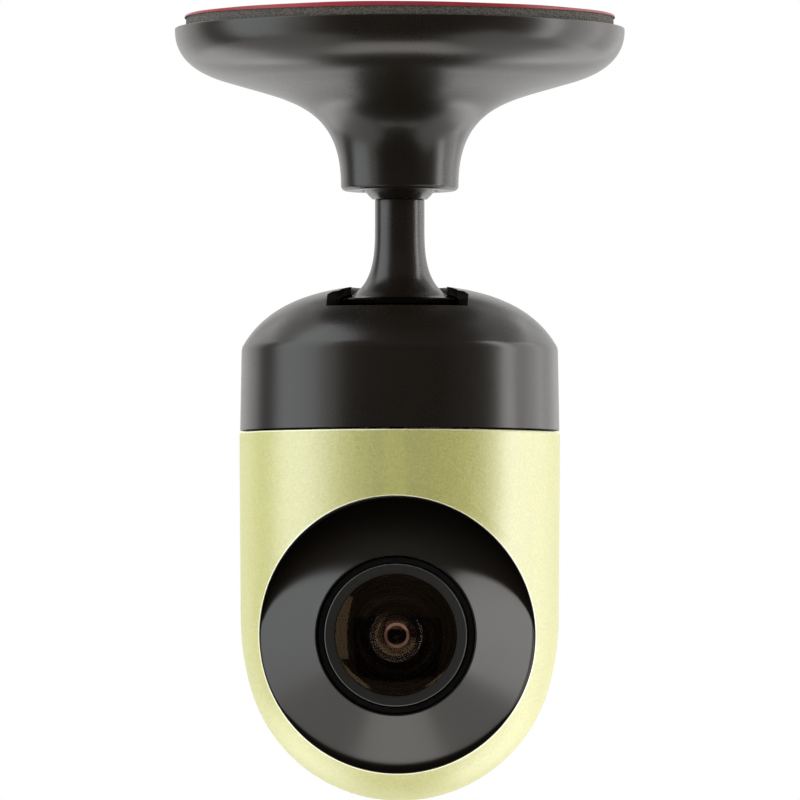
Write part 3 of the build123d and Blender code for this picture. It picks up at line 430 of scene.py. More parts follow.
# ---------------------------------------------------------------- adhesive pad
class DASHCAM_OT_film(bpy.types.Operator):
    """Makes the red peel-off film with its pull tab"""
    bl_idname = "dashcam.film"
    bl_label = "Peel-off film"

    def execute(self, context):
        settings = context.scene.dashcam_pad
        radius, reach = high("release_liner")[:2]
        thickness = -low("release_liner")[2]
        turn = around(720)
        # the rim is the disc's radius, drawn out to the tab where the angle points backwards
        tab_half, tab_blend = 4.0, 1.2
        beside = np.abs(np.cos(turn)) * radius
        tab = (np.sin(turn) > 0) * np.clip((tab_half - beside) / tab_blend, 0, 1)
        tab = tab * tab * (3 - 2 * tab)
        rim = radius + (reach - radius) * tab
        # each ring is a share of the rim's radius less an inset, and a share of the lift and of the roll
        flat = np.linspace(0, 0.9, 14)
        lifted = np.linspace(0.92, 1, 12)
        share = np.concatenate([flat, lifted, np.ones(8), lifted[::-1], flat[::-1]])[:, None]

        def over_rings(top, rolled, under):
            """One value for every ring above, one each for those round the edge, and one for those below."""
            rings = len(flat) + len(lifted)
            return np.concatenate([np.full(rings, top), rolled, np.full(rings, under)])[:, None]

        inset = over_rings(0.10, (0.05, 0.02, 0.0, 0.0, 0.06, 0.06, 0.09, 0.11), 0.16)
        roll = over_rings(0.0, (0.06, 0.3, 0.7, 1.0, 1.0, 0.7, 0.3, 0.1), 0.0)
        depth = over_rings(0.0, (0.02, 0.06, 0.1, 0.13, 0.13, 0.13, 0.13, 0.13), 0.9 * thickness)
        # the film lifts in slow waves towards its rim, most in front, and its edge rolls down over the pad
        wave = np.sin(turn * 3 + 0.7) * 0.5 + np.sin(turn * 7 + 2.1) * 0.3 + np.sin(turn * 13) * 0.2
        front = np.exp(-((np.cos(turn) / 0.30) ** 2)) * (np.sin(turn) < 0)
        rise = np.clip((share - 0.8) / 0.2, 0, 1) ** 2
        lift = settings.film_ripple * rise * (0.35 + 0.25 * wave + 0.4 * front)
        ahead = (np.sin(turn) < 0) * np.sin(turn) ** 2
        down = settings.film_roll * (0.30 + 0.10 * wave + 0.60 * ahead) * (1 - tab)
        points = carried_round(share * rim - inset * share, lift - roll * down - depth, turn)
        film = weave("liner_film", points, False, True, 60)
        settle(film, "liner", "liner_film", "release_liner")
        finish = Finish("red_film", IOR=1.5, Specular_IOR_Level=0.3, Coat_Weight=0.15, Coat_Roughness=0.25)
        drift = finish.cloud(5.0, 3.0)
        crease = finish.cloud(1.4, 2.0)
        colour = finish.between(drift, scaled(settings.film_colour, 0.8), scaled(settings.film_colour, 1.25))
        paint(film, finish.look(colour, 0.34 + 0.2 * crease, crease, 0.02))
        return {"FINISHED"}


class DASHCAM_OT_foam(bpy.types.Operator):
    """Makes the open-cell foam pad"""
    bl_idname = "dashcam.foam"
    bl_label = "Foam pad"

    def execute(self, context):
        settings = context.scene.dashcam_pad
        radius = high("foam_pad")[0]
        bottom, top = low("foam_pad")[2], high("foam_pad")[2]
        turn = around(720)
        lower_round, upper_round = 0.12, 0.1
        edge = chain(arc((radius - lower_round, bottom + lower_round), lower_round, -90, 0, 4),
                     np.linspace((radius, bottom + lower_round), (radius, top - upper_round), 9)[1:],
                     arc((radius - upper_round, top - upper_round), upper_round, 0, 90, 4)[1:])
        profile = chain((0, bottom), (radius * 0.5, bottom), (radius * 0.97, bottom), edge,
                        (radius * 0.97, top), (radius * 0.5, top), (0, top))
        # the cut edge is torn a little: three waves of the angle and height, strongest at the rim
        height = (profile[:, 1:] - bottom) / (top - bottom)
        torn = (np.sin(turn * 97 + 9 * height) + np.sin(turn * 61 - 5 * height)
                + np.sin(turn * 151 + 17 * height)) / 3
        ring = profile[:, :1] * (1 - 0.0016 * (profile[:, :1] > radius * 0.99) * (1 + torn))
        pad = weave("foam_disc", carried_round(ring, profile[:, 1:], turn), False, True, 60)
        settle(pad, "base", "foam", "foam_pad")
        finish = Finish("open_cell_foam", Specular_IOR_Level=0.25, Sheen_Weight=0.15)
        pores = Number(finish, finish.cells(settings.pore_size))
        small = finish.cloud(settings.pore_size * 0.5, 3.0, 0.7)
        # painted shade: the colour is darkest in the middle of each cell, where the bump dips into the pore,
        # and lighter on the cell walls; the fine noise adds random tone
        wall = (pores * 1.6).kept()
        colour = finish.between((wall * 0.75 + small * 0.5 - 0.15).kept(),
                                scaled(settings.foam_colour, 0.35), scaled(settings.foam_colour, 1.9))
        paint(pad, finish.look(colour, 0.85 + 0.1 * small, wall * 0.7 + small * 0.3, 0.12))
        return {"FINISHED"}


# ---------------------------------------------------------------- base and ball joint
class DASHCAM_OT_base(bpy.types.Operator):
    """Makes the bell-shaped base and finishes what is inside it"""
    bl_idname = "dashcam.base"
    bl_label = "Base"

    def execute(self, context):
        settings = context.scene.dashcam_moulding
        nodes = frame["nodes"]
        rim, top, bottom = high("base_shell")[0], high("base_shell")[2], low("base_shell")[2]
        plate_radius = high("base_plate")[0] + 0.1
        plate_bottom = low("base_plate")[2]
        middle = mid_height("ball")
        play = 0.04
        seat, cup, plug = (high(name)[0] + play for name in ("ball", "pressure_cup", "socket_plug"))
        neck, land, round_edge, mouth = 7.0, 0.25, 0.6, 0.936 * high("ball")[0]
        rim_round, mouth_round = 0.12, 0.18
        curve_top, curve_foot = top - land, bottom + round_edge
        across, down = rim - neck, curve_top - curve_foot
        knee = np.array([neck + 0.645 * across, curve_top - 0.341 * down])
        lean = np.array([math.cos(0.291), math.sin(0.291)]) * across
        spring_top = low("socket_plug")[2] - 0.05
        mouth_drop = math.degrees(math.acos(mouth / seat))
        profile = chain(
            (plate_radius, top), (rim - rim_round, top),
            arc((rim - rim_round, top - rim_round), rim_round, 90, 0, 5)[1:],
            bezier((rim, curve_top), (rim, curve_top - 0.253 * down), knee + lean * 0.095, knee, 36),
            bezier(knee, knee - lean * 0.356, (neck, curve_foot + 0.508 * down), (neck, curve_foot), 36)[1:],
            arc((neck - round_edge, curve_foot), round_edge, 0, -90, 8)[1:],
            arc((mouth + mouth_round, bottom + mouth_round), mouth_round, -90, -180, 5),
            arc((0, middle), seat, -mouth_drop, 0, 8),
            (cup, middle), (cup, spring_top), (plug, spring_top), (plug, plate_bottom),
            (plate_radius, plate_bottom))
        bell = turned("base_bell", profile, 192)
        settle(bell, "base", "black_gloss", "base_shell")
        paint(bell, satin_black("base_satin_black", settings))
        paint(nodes["base_plate"], moulded("plate_black", (0.03, 0.03, 0.03), 0.55, 0.5, 0.01))
        paint(nodes["socket_plug"], moulded("plug_black", (0.03, 0.03, 0.032), 0.45))
        paint(nodes["pressure_cup"], moulded("cup_acetal", (0.72, 0.70, 0.64), 0.4))
        return {"FINISHED"}


class DASHCAM_OT_ball_joint(bpy.types.Operator):
    """Makes the ball and the flared stem with its foot"""
    bl_idname = "dashcam.ball_joint"
    bl_label = "Ball and stem"

    def execute(self, context):
        settings = context.scene.dashcam_moulding
        radius = high("ball")[0]
        upper, lower = high("ball")[2], low("ball")[2]
        flat = (upper - lower) / 2
        lean = math.degrees(math.asin(flat / radius))
        bore, recess, recess_depth, socket, socket_depth = 1.4, 2.35, 2.5, 2.05, 1.7
        profile = chain(
            (recess, upper), arc((0, mid_height("ball")), radius, lean, -lean, 41), (socket, lower),
            (socket, lower + socket_depth), (bore, lower + socket_depth), (bore, upper - recess_depth),
            (recess, upper - recess_depth))
        ball = turned("ball_polished", profile, 96)
        settle(ball, "ball", "ball_black", "ball")
        paint(ball, satin_black("ball_satin_black", settings, -0.06, 0.0008))

        stem_radius, foot_radius, foot_front, top_round = 2.95, high("stem")[0], 6.0, 0.12
        top = lower - 0.05
        flare_top = top - 3.1
        foot_bottom = low("stem")[2]
        pad_top = foot_bottom + 0.28
        foot_top = pad_top + 0.32
        drop = flare_top - foot_top
        turn = around(192)

        def outline(inset):
            """The foot seen from above: a circle behind, a square with rounded corners in front."""
            half, front = foot_radius - inset, foot_front - inset
            x, y = np.cos(turn), np.sin(turn)
            # a soft least of the distances to the side and to the front edge rounds the corner
            side = half / np.maximum(np.abs(x), 1e-9)
            ahead = front / np.maximum(-y, 1e-9)
            square = (side ** -5 + ahead ** -5) ** (-1 / 5)
            return np.where(y < 0, square, half)

        rows = [(np.full_like(turn, r), z) for r, z in chain(
            (0.0, top), (stem_radius - top_round, top),
            arc((stem_radius - top_round, top - top_round), top_round, 90, 0, 4)[1:],
            bezier((stem_radius, flare_top), (stem_radius, flare_top - 0.35 * drop),
                   (stem_radius, foot_top + 0.12 * drop), (foot_radius, foot_top), 48))]
        rows += [(outline(inset), height) for inset, height in (
            (0.10, foot_top - 0.02), (0.02, foot_top - 0.09), (0.0, foot_top - 0.16), (0.02, pad_top + 0.07),
            (0.10, pad_top), (0.85, pad_top - 0.01), (0.85, foot_bottom + 0.08), (0.93, foot_bottom))]
        rows.append((0 * turn, foot_bottom))
        radii = np.array([r for r, _ in rows])
        heights = np.array([z for _, z in rows])[:, None]
        stem = weave("stem_flared", carried_round(radii, heights, turn), False, True, 35)
        settle(stem, "stem", "black_gloss", "stem")
        paint(stem, satin_black("stem_satin_black", settings))
        return {"FINISHED"}


# ---------------------------------------------------------------- cap
class DASHCAM_OT_cap(bpy.types.Operator):
    """Finishes the domed cap, its latch plate and the swivel under it"""
    bl_idname = "dashcam.cap"
    bl_label = "Cap and swivel"

    def execute(self, context):
        settings = context.scene.dashcam_moulding
        nodes = frame["nodes"]
        paint(nodes["top_cap"], satin_black("cap_satin_black", settings))
        paint(nodes["detent_spring"], metal("latch_spring_steel", (0.10, 0.10, 0.105), 0.35, "X"))
        paint(nodes["swivel_plate"], moulded("swivel_plate_black", (0.03, 0.03, 0.03), 0.5))
        paint(nodes["swivel_hub"], moulded("hub_acetal", (0.70, 0.68, 0.62), 0.4))
        paint(nodes["friction_washer"], moulded("washer_ptfe", (0.82, 0.82, 0.80), 0.5))
        paint(nodes["usb_socket"], metal("socket_tin", (0.72, 0.71, 0.69), 0.28, "Y"))
        paint(nodes["power_harness"], moulded("lead_jacket", (0.02, 0.02, 0.02), 0.6, 0.2, 0.01))
        return {"FINISHED"}


# ---------------------------------------------------------------- shell
class DASHCAM_OT_shell(bpy.types.Operator):
    """Finishes the painted shell and the lid in its mouth"""
    bl_idname = "dashcam.shell"
    bl_label = "Painted shell"

    def execute(self, context):
        settings = context.scene.dashcam_shell
        nodes = frame["nodes"]
        finish = Finish("pearl_paint", IOR=2.7)
        flakes = finish.red_of(finish.cells(settings.flake_size, "Color"))
        fine = finish.red_of(finish.cells(settings.flake_size * 0.5, "Color"))
        drift = finish.cloud(7.0, 2.0)
        glint = flakes * 0.6 + fine * 0.4
        coat = finish.between((glint * 0.85 + drift * 0.15).kept(), scaled(settings.paint, 0.80),
                              scaled(settings.paint, 1.20))
        # painted highlight: a lighter band is painted on the rim of the lens pocket and along the shell's top
        # edge; painted shade: the paint turns near black on the wall of the lens pocket
        _, y, z = finish.axes()
        out = finish.off_axis(mid_height("lens_bezel"))
        pocket_edge = high("lens_bezel")[0] + 0.17
        painted_highlight_width = 0.12
        ahead = y < 0.0
        # painted highlight mask: a thin band on the pocket's rim and along the shell's top edge
        edge = (((out > pocket_edge) * (out < pocket_edge + painted_highlight_width) * ahead)
                + (z > high("lower_shell")[2] - 0.16)).kept()
        # painted shade: the pocket's wall, where the gap between shell and bezel lies in shade, is coloured
        # near black
        wall = (out < pocket_edge) * ahead
        coat = finish.between(edge * 0.7, coat, (0.90, 0.90, 0.62, 1))
        coat = finish.between(wall, coat, (0.012, 0.011, 0.008, 1))
        paint(nodes["lower_shell"], finish.look(coat, 0.41 + (fine - 0.5) * 0.14, glint, 0.008))
        paint(nodes["top_lid"], moulded("lid_black", (0.025, 0.025, 0.025), 0.5))
        return {"FINISHED"}


# ---------------------------------------------------------------- lens
class DASHCAM_OT_bezel(bpy.types.Operator):
    """Makes the conical bezel round the lens and the seal in its throat"""
    bl_idname = "dashcam.bezel"
    bl_label = "Lens bezel"

    def execute(self, context):
        settings = context.scene.dashcam_moulding
        axis_height = mid_height("lens_bezel")
        outer = high("lens_bezel")[0]
        back = -high("lens_bezel")[1]
        edge, inner, nose, wall, ledge = back + 0.5, 9.33, 16.0, 2.0, 2.17
        slope = math.degrees(math.atan2(nose - edge, outer - inner))
        profile = chain(
            (outer - ledge, back), (outer, back), (outer, edge - 0.1),
            arc((outer - 0.14, edge - 0.06), 0.14, 0, 90 - slope + 30, 5),
            np.linspace((outer - 0.3, edge + 0.26), (inner + 0.20, nose - 0.21), 24),
            arc((inner + 0.12, nose - 0.22), 0.12, 55, 180, 9),
            (inner, nose - wall), (outer - ledge, edge + 0.05))
        bezel = turned_forward("bezel_cone", profile, axis_height, 192)
        settle(bezel, "head", "black_gloss", "lens_bezel")
        paint(bezel, satin_black("bezel_satin_black", settings, 0.02))
        front, rear = -low("lens_seal")[1], -high("lens_seal")[1]
        seal_inner, seal_outer = 8.43, high("lens_seal")[0]
        half = (seal_outer - seal_inner) / 2
        seal_profile = chain(
            (seal_inner, rear), (seal_outer, rear), (seal_outer, front - half * 0.8),
            arc(((seal_outer + seal_inner) / 2, front - half * 0.8), half, 0, 180, 9)[1:])
        seal_profile[:, 1] = np.minimum(seal_profile[:, 1], front)
        seal = turned_forward("seal_ring", seal_profile, axis_height, 128)
        settle(seal, "head", "rubber_black", "lens_seal")
        paint(seal, moulded("seal_rubber", (0.004, 0.004, 0.004), 0.7, 0.2, 0.01))
        return {"FINISHED"}


class DASHCAM_OT_lens(bpy.types.Operator):
    """Makes the lens barrel, its ridged baffle and the glasses"""
    bl_idname = "dashcam.lens"
    bl_label = "Lens"

    def execute(self, context):
        settings = context.scene.dashcam_lens
        nodes = frame["nodes"]
        axis_height = mid_height("lens_barrel")
        radius = high("lens_barrel")[0]
        back = -high("lens_barrel")[1]
        front, step = 16.3, 8.6
        glass_radius = high("front_lens")[0]
        glass_edge = front - 0.45
        lip_radius, lip_round = glass_radius - 0.27, 0.07
        bore, thread_radius, thread_depth = 4.2, 5.95, 0.18
        seat, seat_back = glass_radius + 0.02, glass_edge - 4.9
        groove = radius - 0.1
        thread = np.arange(0, step - back - 1.2, 0.125)
        ridged = np.stack([thread_radius - thread_depth * (np.arange(len(thread)) % 4 > 1),
                           back + 0.6 + thread], 1)
        profile = chain(
            (bore, back), (5.7, back), ridged, (thread_radius, step), (radius, step),
            (radius, front - 0.42), (groove, front - 0.36), (groove, front - 0.28), (radius, front - 0.22),
            (radius, front - lip_round),
            arc((radius - lip_round, front - lip_round), lip_round, 0, 90, 5)[1:],
            np.linspace((radius - 0.12, front), (lip_radius + 0.05, front - 0.19), 4),
            arc((lip_radius + 0.04, front - 0.23), 0.04, 80, 180, 4), (lip_radius, glass_edge + 0.19),
            (seat, glass_edge + 0.04), (seat, glass_edge - 0.3), (seat, seat_back), (bore, seat_back))
        barrel = turned_forward("barrel_turned", profile, axis_height, 192)
        settle(barrel, "head", "barrel_metal", "lens_barrel")
        finish = Finish("anodised_barrel", Metallic=0.3)
        _, y, _ = finish.axes()
        out = finish.off_axis(axis_height)
        rings = (out * 42.0).sine() * 0.5 + 0.5
        # painted highlight: the front lip is coloured lighter, mottled by noise, for the gleam on its rounded
        # edge; it is also glossier
        lip = (out > radius - lip_round) * (y < -(front - 0.08))
        lip_highlight_mottle = finish.cloud(0.6, 3.0)
        colour = finish.between((lip * (0.75 + lip_highlight_mottle * 0.3)).kept(), (0.018, 0.018, 0.016, 1),
                                (0.13, 0.13, 0.12, 1))
        paint(barrel, finish.look(colour, 0.42 - lip * 0.12 + rings * 0.06, rings, 0.003))

        hollow_radius, hollow_edge = 4.4, glass_edge - 1.6
        profile = chain(
            dome(glass_edge, glass_radius, 16.0, 40),
            (glass_radius, hollow_edge), (hollow_radius, hollow_edge),
            dome(hollow_edge, hollow_radius, 5.6, 28)[-2::-1])
        profile[0, 0] = profile[-1, 0] = 0
        front_glass = turned_forward("front_glass", profile, axis_height, 160, False)
        settle(front_glass, "head", "lens_glass", "front_lens")
        # the brown gleam is the front coating's, and the faces behind it are coated against reflections
        for name, gleam in (("coated_front_glass", (0.80, 0.56, 0.32)),
                            ("coated_glass_back", (0.10, 0.07, 0.06))):
            front_glass.data.materials.append(glass(name, (0.58, 0.52, 0.49), settings.coating, gleam))
        middles = np.empty(3 * len(front_glass.data.polygons))
        front_glass.data.polygons.foreach_get("center", middles)
        behind = middles.reshape(-1, 3)[:, 1] > -glass_edge * MM
        front_glass.data.polygons.foreach_set("material_index", behind.astype(np.int32))

        baffle_front = glass_edge - 1.65
        baffle_back = glass_edge - 4.85
        count, tooth_depth = settings.ridges, 0.16
        slope = np.linspace((6.9, baffle_front - 0.05), (3.4, baffle_front - 1.6), 4 * count + 1)
        slope[:, 1] -= np.where(np.arange(4 * count + 1) % 4 < 2, 0.0, tooth_depth)
        profile = chain((glass_radius, baffle_front), (7.0, baffle_front), slope,
                        arc((2.95, baffle_front - 1.7), 0.2, 60, 180, 6), (2.75, baffle_back),
                        (glass_radius, baffle_back))
        baffle = turned_forward("ridged_baffle", profile, axis_height, 128, True, 25)
        settle(baffle, "head", "baffle_black", "lens_baffle")
        matt = Finish("baffle_matt_black", Specular_IOR_Level=0.12)
        soot = matt.cloud(0.4, 3.0)
        colour = matt.between(soot, (0.0012, 0.0010, 0.0008, 1), (0.0030, 0.0022, 0.0018, 1))
        paint(baffle, matt.look(colour, 0.62 + 0.1 * soot, soot, 0.002))

        second_edge, second_radius = baffle_front - 2.0, 2.7
        second_back = second_edge - 1.1
        profile = chain(dome(second_edge, second_radius, 4.0, 24),
                        (second_radius, second_back), (0, second_back))
        profile[0, 0] = 0
        second = turned_forward("second_glass", profile, axis_height, 96, False)
        settle(second, "head", "lens_glass", "second_lens")
        paint(second, glass("coated_second_glass", (0.95, 0.92, 0.94), (0.90, 0.80, 0.88),
                            (0.12, 0.09, 0.11)))

        iris = Finish("aperture_lip", Metallic=0.6)
        pupil = 1.45
        grain = iris.cloud(0.1, 2.0)
        colour = iris.between(iris.off_axis(axis_height) < pupil, (0.004, 0.003, 0.004, 1),
                              (0.75, 0.56, 0.54, 1))
        paint(nodes["aperture_ring"], iris.look(colour, 0.4 + 0.1 * grain, grain, 0.003))
        paint(nodes["third_lens"], glass("coated_third_glass", (0.95, 0.97, 0.98), (0.80, 0.85, 0.95)))
        paint(nodes["rear_lens"], glass("coated_rear_glass", (0.97, 0.98, 0.97), (0.85, 0.95, 0.85)))
        paint(nodes["infrared_filter"], glass("filter_glass", (0.70, 0.88, 0.92), (0.85, 0.60, 0.62)))
        paint(nodes["lens_holder"], moulded("holder_black", (0.02, 0.02, 0.02), 0.55))
        return {"FINISHED"}


# ---------------------------------------------------------------- electronics, fasteners and controls
def circuit_board(name):
    """Green solder mask with copper tracks under it: lines where waves of the coordinates cross zero."""
    finish = Finish(name, IOR=1.5, Coat_Weight=0.4, Coat_Roughness=0.15)
    x, _, z = finish.axes()
    weave_noise = finish.cloud(2.2, 1.0)
    tracks = (x * 2.6 + weave_noise * 6.0).sine() * (z * 2.3 + weave_noise * 5.0).sine()
    copper = (tracks < 0.16) * (tracks > -0.16)
    vias = Number(finish, finish.cells(1.3)) < 0.16
    mask = finish.between(copper * 0.6, (0.004, 0.055, 0.020, 1), (0.020, 0.16, 0.055, 1))
    finish.set("Metallic", vias * 0.9)
    return finish.look(finish.between(vias, mask, (0.65, 0.50, 0.22, 1)), 0.3 + 0.1 * weave_noise,
                       copper + vias, 0.03)


class DASHCAM_OT_electronics(bpy.types.Operator):
    """Finishes the boards, the chips and the other electronic parts"""
    bl_idname = "dashcam.electronics"
    bl_label = "Electronics"

    def execute(self, context):
        nodes = frame["nodes"]
        board = circuit_board("solder_mask_green")
        for name in ("main_board", "sensor_board", "power_board"):
            paint(nodes[name], board)
        chip = moulded("chip_epoxy", (0.018, 0.018, 0.02), 0.45, 0.08, 0.004)
        for name in ("processor", "memory_chip"):
            paint(nodes[name], chip)
        tin = metal("shield_tin", (0.68, 0.67, 0.65), 0.3, "X")
        for name in ("wifi_module", "microphone", "tact_switch", "card_socket"):
            paint(nodes[name], tin)
        paint(nodes["chassis"], moulded("chassis_nylon", (0.05, 0.05, 0.055), 0.6, 0.4, 0.01))
        paint(nodes["harness_plug"], moulded("plug_nylon", (0.78, 0.75, 0.66), 0.5))
        paint(nodes["speaker"], moulded("speaker_paper", (0.03, 0.03, 0.03), 0.7, 0.15, 0.02))
        paint(nodes["status_led"], moulded("led_resin", (0.85, 0.80, 0.45), 0.35))

        sleeve = Finish("capacitor_sleeve", IOR=1.5, Coat_Weight=0.5, Coat_Roughness=0.2)
        x = sleeve.axes()[0]
        stripe = 13.2
        band = ((x > stripe) + (x < -stripe)).kept()
        crease = sleeve.cloud(1.2, 3.0)
        colour = sleeve.between(band, (0.008, 0.018, 0.10, 1), (0.55, 0.57, 0.60, 1))
        paint(nodes["supercapacitors"], sleeve.look(colour, 0.3 + 0.15 * crease, crease, 0.02))

        die = Finish("sensor_die", IOR=1.5, Coat_Weight=1.0)
        x, _, z = die.axes()
        sheen = (x * 1.3 + z * 0.9).sine() * 0.5 + 0.5
        grid = (x * 30.0).sine() * (z * 30.0).sine() * 0.5 + 0.5
        colour = die.between(sheen, (0.05, 0.12, 0.10, 1), (0.20, 0.06, 0.16, 1))
        paint(nodes["image_sensor"], die.look(colour, 0.15 + 0.15 * grid, grid, 0.002))

        flex = Finish("polyimide_film", IOR=1.6, Coat_Weight=0.5)
        lines = (flex.axes()[0] * 9.0).sine() * 0.5 + 0.5
        colour = flex.between(lines, (0.45, 0.17, 0.02, 1), (0.62, 0.30, 0.06, 1))
        paint(nodes["sensor_flex"], flex.look(colour, 0.25 + 0.1 * lines, lines, 0.02))
        return {"FINISHED"}


class DASHCAM_OT_fasteners(bpy.types.Operator):
    """Finishes the screws, springs and washers"""
    bl_idname = "dashcam.fasteners"
    bl_label = "Fasteners and springs"

    def execute(self, context):
        nodes = frame["nodes"]
        zinc = metal("zinc_plate", (0.62, 0.62, 0.60), 0.32)
        black_zinc = metal("black_zinc", (0.10, 0.10, 0.105), 0.38)
        spring = metal("spring_steel", (0.50, 0.49, 0.47), 0.28, "X")
        for name in ("base_screws", "stem_screw", "hub_screws", "board_screws"):
            paint(nodes[name], zinc)
        for name in ("lid_screws", "chassis_screws", "bezel_screws", "sensor_screws"):
            paint(nodes[name], black_zinc)
        for name in ("disc_springs", "wave_washer"):
            paint(nodes[name], spring)
        return {"FINISHED"}


class DASHCAM_OT_controls(bpy.types.Operator):
    """Makes the dished button and finishes the light pipe and the memory card"""
    bl_idname = "dashcam.controls"
    bl_label = "Button, light and card"

    def execute(self, context):
        settings = context.scene.dashcam_moulding
        nodes = frame["nodes"]
        axis_height = mid_height("power_button")
        front, back = low("power_button")[1], high("power_button")[1]
        radius, flange, shoulder, edge_round = 3.5, high("power_button")[0], 15.9, 0.35
        dish = bezier((0, back - edge_round), (radius * 0.5, back - edge_round),
                      (radius * 0.75, back - 0.02), (radius - edge_round, back), 18)
        profile = chain(dish, arc((radius - edge_round, back - edge_round), edge_round, 90, 0, 7)[1:],
                        (radius, shoulder), (flange, shoulder), (flange, front), (0, front))
        # the button faces backwards, so its distances are behind the axis and not ahead
        button = turned_forward("button_dished", profile * (1, -1), axis_height, 96, False, 40)
        settle(button, "button", "button_black", "power_button")
        finish = Finish("button_satin", IOR=1.5)
        x, y, z = finish.axes()
        rise = z - axis_height
        out = finish.off_axis(axis_height)
        ring = (out > 0.85) * (out < 1.1) * (1 - (rise > 0.2) * (x < 0.3) * (x > -0.3))
        bar = (x < 0.11) * (x > -0.11) * (rise > 0.35) * (rise < 1.3)
        mark = (ring + bar).kept() * (y > back - 1.0)
        grain = finish.cloud(0.25, 2.0)
        colour = finish.between(mark, scaled(settings.colour, 1.4), (0.50, 0.50, 0.49, 1))
        paint(button, finish.look(colour, 0.42 + 0.1 * grain, grain, 0.004))

        pipe = Finish("light_pipe_acrylic", IOR=1.49, Transmission_Weight=0.7)
        frost = pipe.cloud(0.2, 2.0)
        colour = pipe.between(frost, (0.80, 0.85, 0.88, 1), (0.95, 0.97, 0.98, 1))
        paint(nodes["light_pipe"], pipe.look(colour, 0.25 + 0.2 * frost))

        card = Finish("card_moulding", IOR=1.5)
        x, _, z = card.axes()
        inner_end = low("memory_card")[0]
        contact = ((z * 5.0).sine() > 0.1) * (x < inner_end + 3.2) * (x > inner_end + 0.5)
        grain = card.cloud(0.2, 2.0)
        card.set("Metallic", contact * 0.9)
        colour = card.between(contact, (0.018, 0.018, 0.02, 1), (0.75, 0.55, 0.20, 1))
        paint(nodes["memory_card"], card.look(colour, 0.45 + 0.1 * grain, grain, 0.004))
        return {"FINISHED"}


# ---------------------------------------------------------------- stage
# each light: its name, its direction in degrees round and up, its distance and size in metres, its
# radiance and its tint
WHITE = (1, 1, 1)
LIGHTS = (
    ("left_light", (-78, 20), 0.9, (0.70, 1.9), 2.6, (0.93, 0.97, 1.0)),
    ("left_edge_light", (-50, 5), 1.0, (0.24, 0.9), 1.05, (1.0, 0.97, 0.92)),
    ("right_light", (87, 8), 1.2, (0.28, 1.8), 6.4, (1.0, 0.99, 0.98)),
    ("right_edge_light", (113, 2), 0.9, (0.45, 1.1), 2.4, (1.0, 0.99, 0.98)),
    ("back_left_light", (-138, -8), 1.2, (0.75, 2.2), 1.25, WHITE),
    ("back_right_light", (140, -8), 1.2, (0.75, 2.2), 1.4, WHITE),
    ("back_light", (180, -12), 1.3, (1.2, 2.4), 1.0, WHITE),
    ("floor_light", (0, -83), 0.55, (0.42, 0.40), 2.8, (1.0, 0.99, 0.95)),
    ("left_floor_light", (-97, -47), 0.62, (1.2, 0.46), 1.2, (1.0, 1.0, 0.97)),
    ("right_floor_light", (97, -47), 0.62, (1.2, 0.46), 1.3, (1.0, 1.0, 0.97)),
    ("back_left_top_light", (-135, 45), 1.2, (1.0, 0.7), 0.7, WHITE),
    ("back_right_top_light", (135, 45), 1.2, (1.0, 0.7), 0.7, WHITE),
    ("front_fill", (0, 12), 1.6, (2.0, 2.0), 1.62, (1.0, 0.98, 0.96)),
)


def softbox(name, direction, distance, size, radiance, tint):
    """A rectangular light that faces the object from its direction."""
    turn, rise = (math.radians(a) for a in direction)
    aim = Vector((math.sin(turn) * math.cos(rise), -math.cos(turn) * math.cos(rise), math.sin(rise)))
    light = bpy.data.lights.new(name, "AREA")
    light.shape = "RECTANGLE"
    light.size, light.size_y = size
    light.energy = radiance * math.pi * size[0] * size[1]
    light.color = tint
    lamp = bpy.data.objects.new(name, light)
    lamp.location = Vector((0, 0, -0.05)) + aim * distance
    lamp.rotation_euler = aim.to_track_quat("Z", "Y").to_euler()
    lamp.visible_camera = False
    bpy.context.scene.collection.objects.link(lamp)
    return lamp


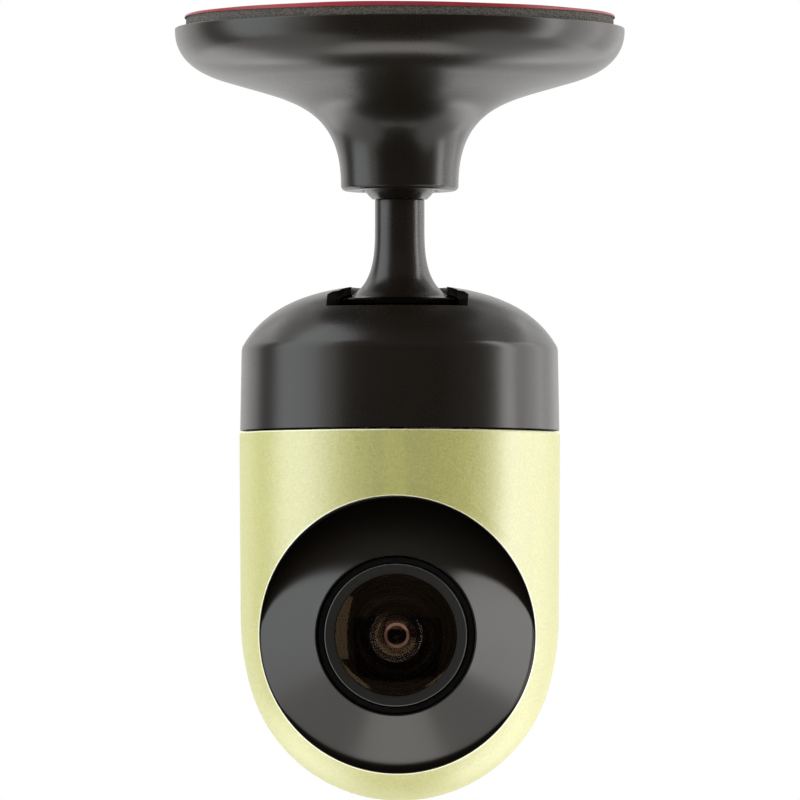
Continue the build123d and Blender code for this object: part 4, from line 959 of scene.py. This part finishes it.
class DASHCAM_OT_stage(bpy.types.Operator):
    """Sets up the pale floor, the soft lights and the camera"""
    bl_idname = "dashcam.stage"
    bl_label = "Studio"

    def execute(self, context):
        settings = context.scene.dashcam_stage
        scene = context.scene
        scene.view_settings.view_transform = "Standard"
        drop, half, card_distance = 560, 4000, 1400
        floor_height = cad_bounds[0][2] / MM - drop
        spread = np.linspace(-half, half, 3)
        east, north = np.meshgrid(spread, spread, indexing="ij")
        top = np.stack([east, north, np.full_like(east, floor_height)], -1)
        floor = weave("floor", top[:, ::-1], False, False)
        floor.visible_glossy = floor.visible_diffuse = False
        finish = Finish("pale_floor", Emission_Strength=0.72)
        drift = finish.cloud(400.0, 1.0)
        pale = finish.between(drift, (0.86, 0.86, 0.85, 1), (0.90, 0.90, 0.89, 1))
        finish.set("Emission Color", pale)
        paint(floor, finish.look(pale, 0.8 + 0.05 * drift))

        # a dark card in front is what the lens mirrors in its middle
        east, up = np.meshgrid(np.linspace(-1100, 1100, 3), np.linspace(-1250, 370, 3), indexing="ij")
        card = weave("dark_card", np.stack([east, np.full_like(east, -card_distance), up], -1), False, False)
        card.visible_camera = card.visible_diffuse = card.visible_shadow = False
        finish = Finish("card_black")
        drift = finish.cloud(400.0, 1.0)
        black = finish.between(drift, (0.001, 0.001, 0.001, 1), (0.002, 0.002, 0.002, 1))
        paint(card, finish.look(black, 0.9 + 0.05 * drift))

        world = bpy.data.worlds.new("studio")
        world.use_nodes = True
        scene.world = world
        tree = world.node_tree
        ground = tree.nodes["Background"]
        seen = tree.nodes.new("ShaderNodeBackground")
        seen.inputs["Color"].default_value = (1, 1, 1, 1)
        seen.inputs["Strength"].default_value = 1.0
        ground.inputs["Color"].default_value = (1, 0.92, 0.84, 1)
        ground.inputs["Strength"].default_value = 0.10
        path = tree.nodes.new("ShaderNodeLightPath")
        mix = tree.nodes.new("ShaderNodeMixShader")
        tree.links.new(path.outputs["Is Camera Ray"], mix.inputs[0])
        tree.links.new(ground.outputs[0], mix.inputs[1])
        tree.links.new(seen.outputs[0], mix.inputs[2])
        tree.links.new(mix.outputs[0], tree.nodes["World Output"].inputs[0])

        for light in LIGHTS:
            lamp = softbox(*light)
            lamp.visible_glossy = lamp.name != "front_fill"

        data = bpy.data.cameras.new("camera")
        data.sensor_width = 36.0
        data.lens = 36.0 * settings.distance / settings.frame_width
        data.clip_start = 0.01
        camera = bpy.data.objects.new("camera", data)
        place = Vector((settings.distance * math.sin(settings.turn),
                        -settings.distance * math.cos(settings.turn), settings.camera_height))
        target = Vector((0.00003, 0.0, -0.0457))
        camera.location = place
        camera.rotation_euler = (place - target).to_track_quat("Z", "Y").to_euler()
        scene.collection.objects.link(camera)
        scene.camera = camera
        return {"FINISHED"}


TOOLS = (DASHCAM_OT_stage, DASHCAM_OT_film, DASHCAM_OT_foam, DASHCAM_OT_base, DASHCAM_OT_ball_joint,
         DASHCAM_OT_cap, DASHCAM_OT_shell, DASHCAM_OT_bezel, DASHCAM_OT_lens, DASHCAM_OT_electronics,
         DASHCAM_OT_fasteners, DASHCAM_OT_controls)
SETTINGS = {"dashcam_pad": PadSettings, "dashcam_moulding": MouldingSettings, "dashcam_shell": ShellSettings,
            "dashcam_lens": LensSettings, "dashcam_stage": StageSettings}


class DASHCAM_PT_tools(bpy.types.Panel):
    """The dash camera's tools and settings in the 3D view's sidebar"""
    bl_idname = "DASHCAM_PT_tools"
    bl_label = "Dash camera"
    bl_space_type = "VIEW_3D"
    bl_region_type = "UI"
    bl_category = "Dash camera"

    def draw(self, context):
        for tool in TOOLS:
            self.layout.operator(tool.bl_idname)
        for name in SETTINGS:
            group = getattr(context.scene, name)
            box = self.layout.box()
            for key in group.bl_rna.properties.keys():
                if key not in ("rna_type", "name"):
                    box.prop(group, key)


def register():
    """Registers the settings, the tools and the panel."""
    for group in SETTINGS.values():
        bpy.utils.register_class(group)
    for name, group in SETTINGS.items():
        setattr(bpy.types.Scene, name, bpy.props.PointerProperty(type=group))
    for tool in TOOLS + (DASHCAM_PT_tools,):
        bpy.utils.register_class(tool)


def unregister():
    """Takes away what register added, in reverse."""
    for tool in reversed(TOOLS + (DASHCAM_PT_tools,)):
        bpy.utils.unregister_class(tool)
    for name in SETTINGS:
        delattr(bpy.types.Scene, name)
    for group in reversed(list(SETTINGS.values())):
        bpy.utils.unregister_class(group)


def main():
    """Runs every tool in order."""
    register()
    for tool in TOOLS:
        group, name = tool.bl_idname.split(".")
        getattr(getattr(bpy.ops, group), name)()


if __name__ == "__main__":
    main()
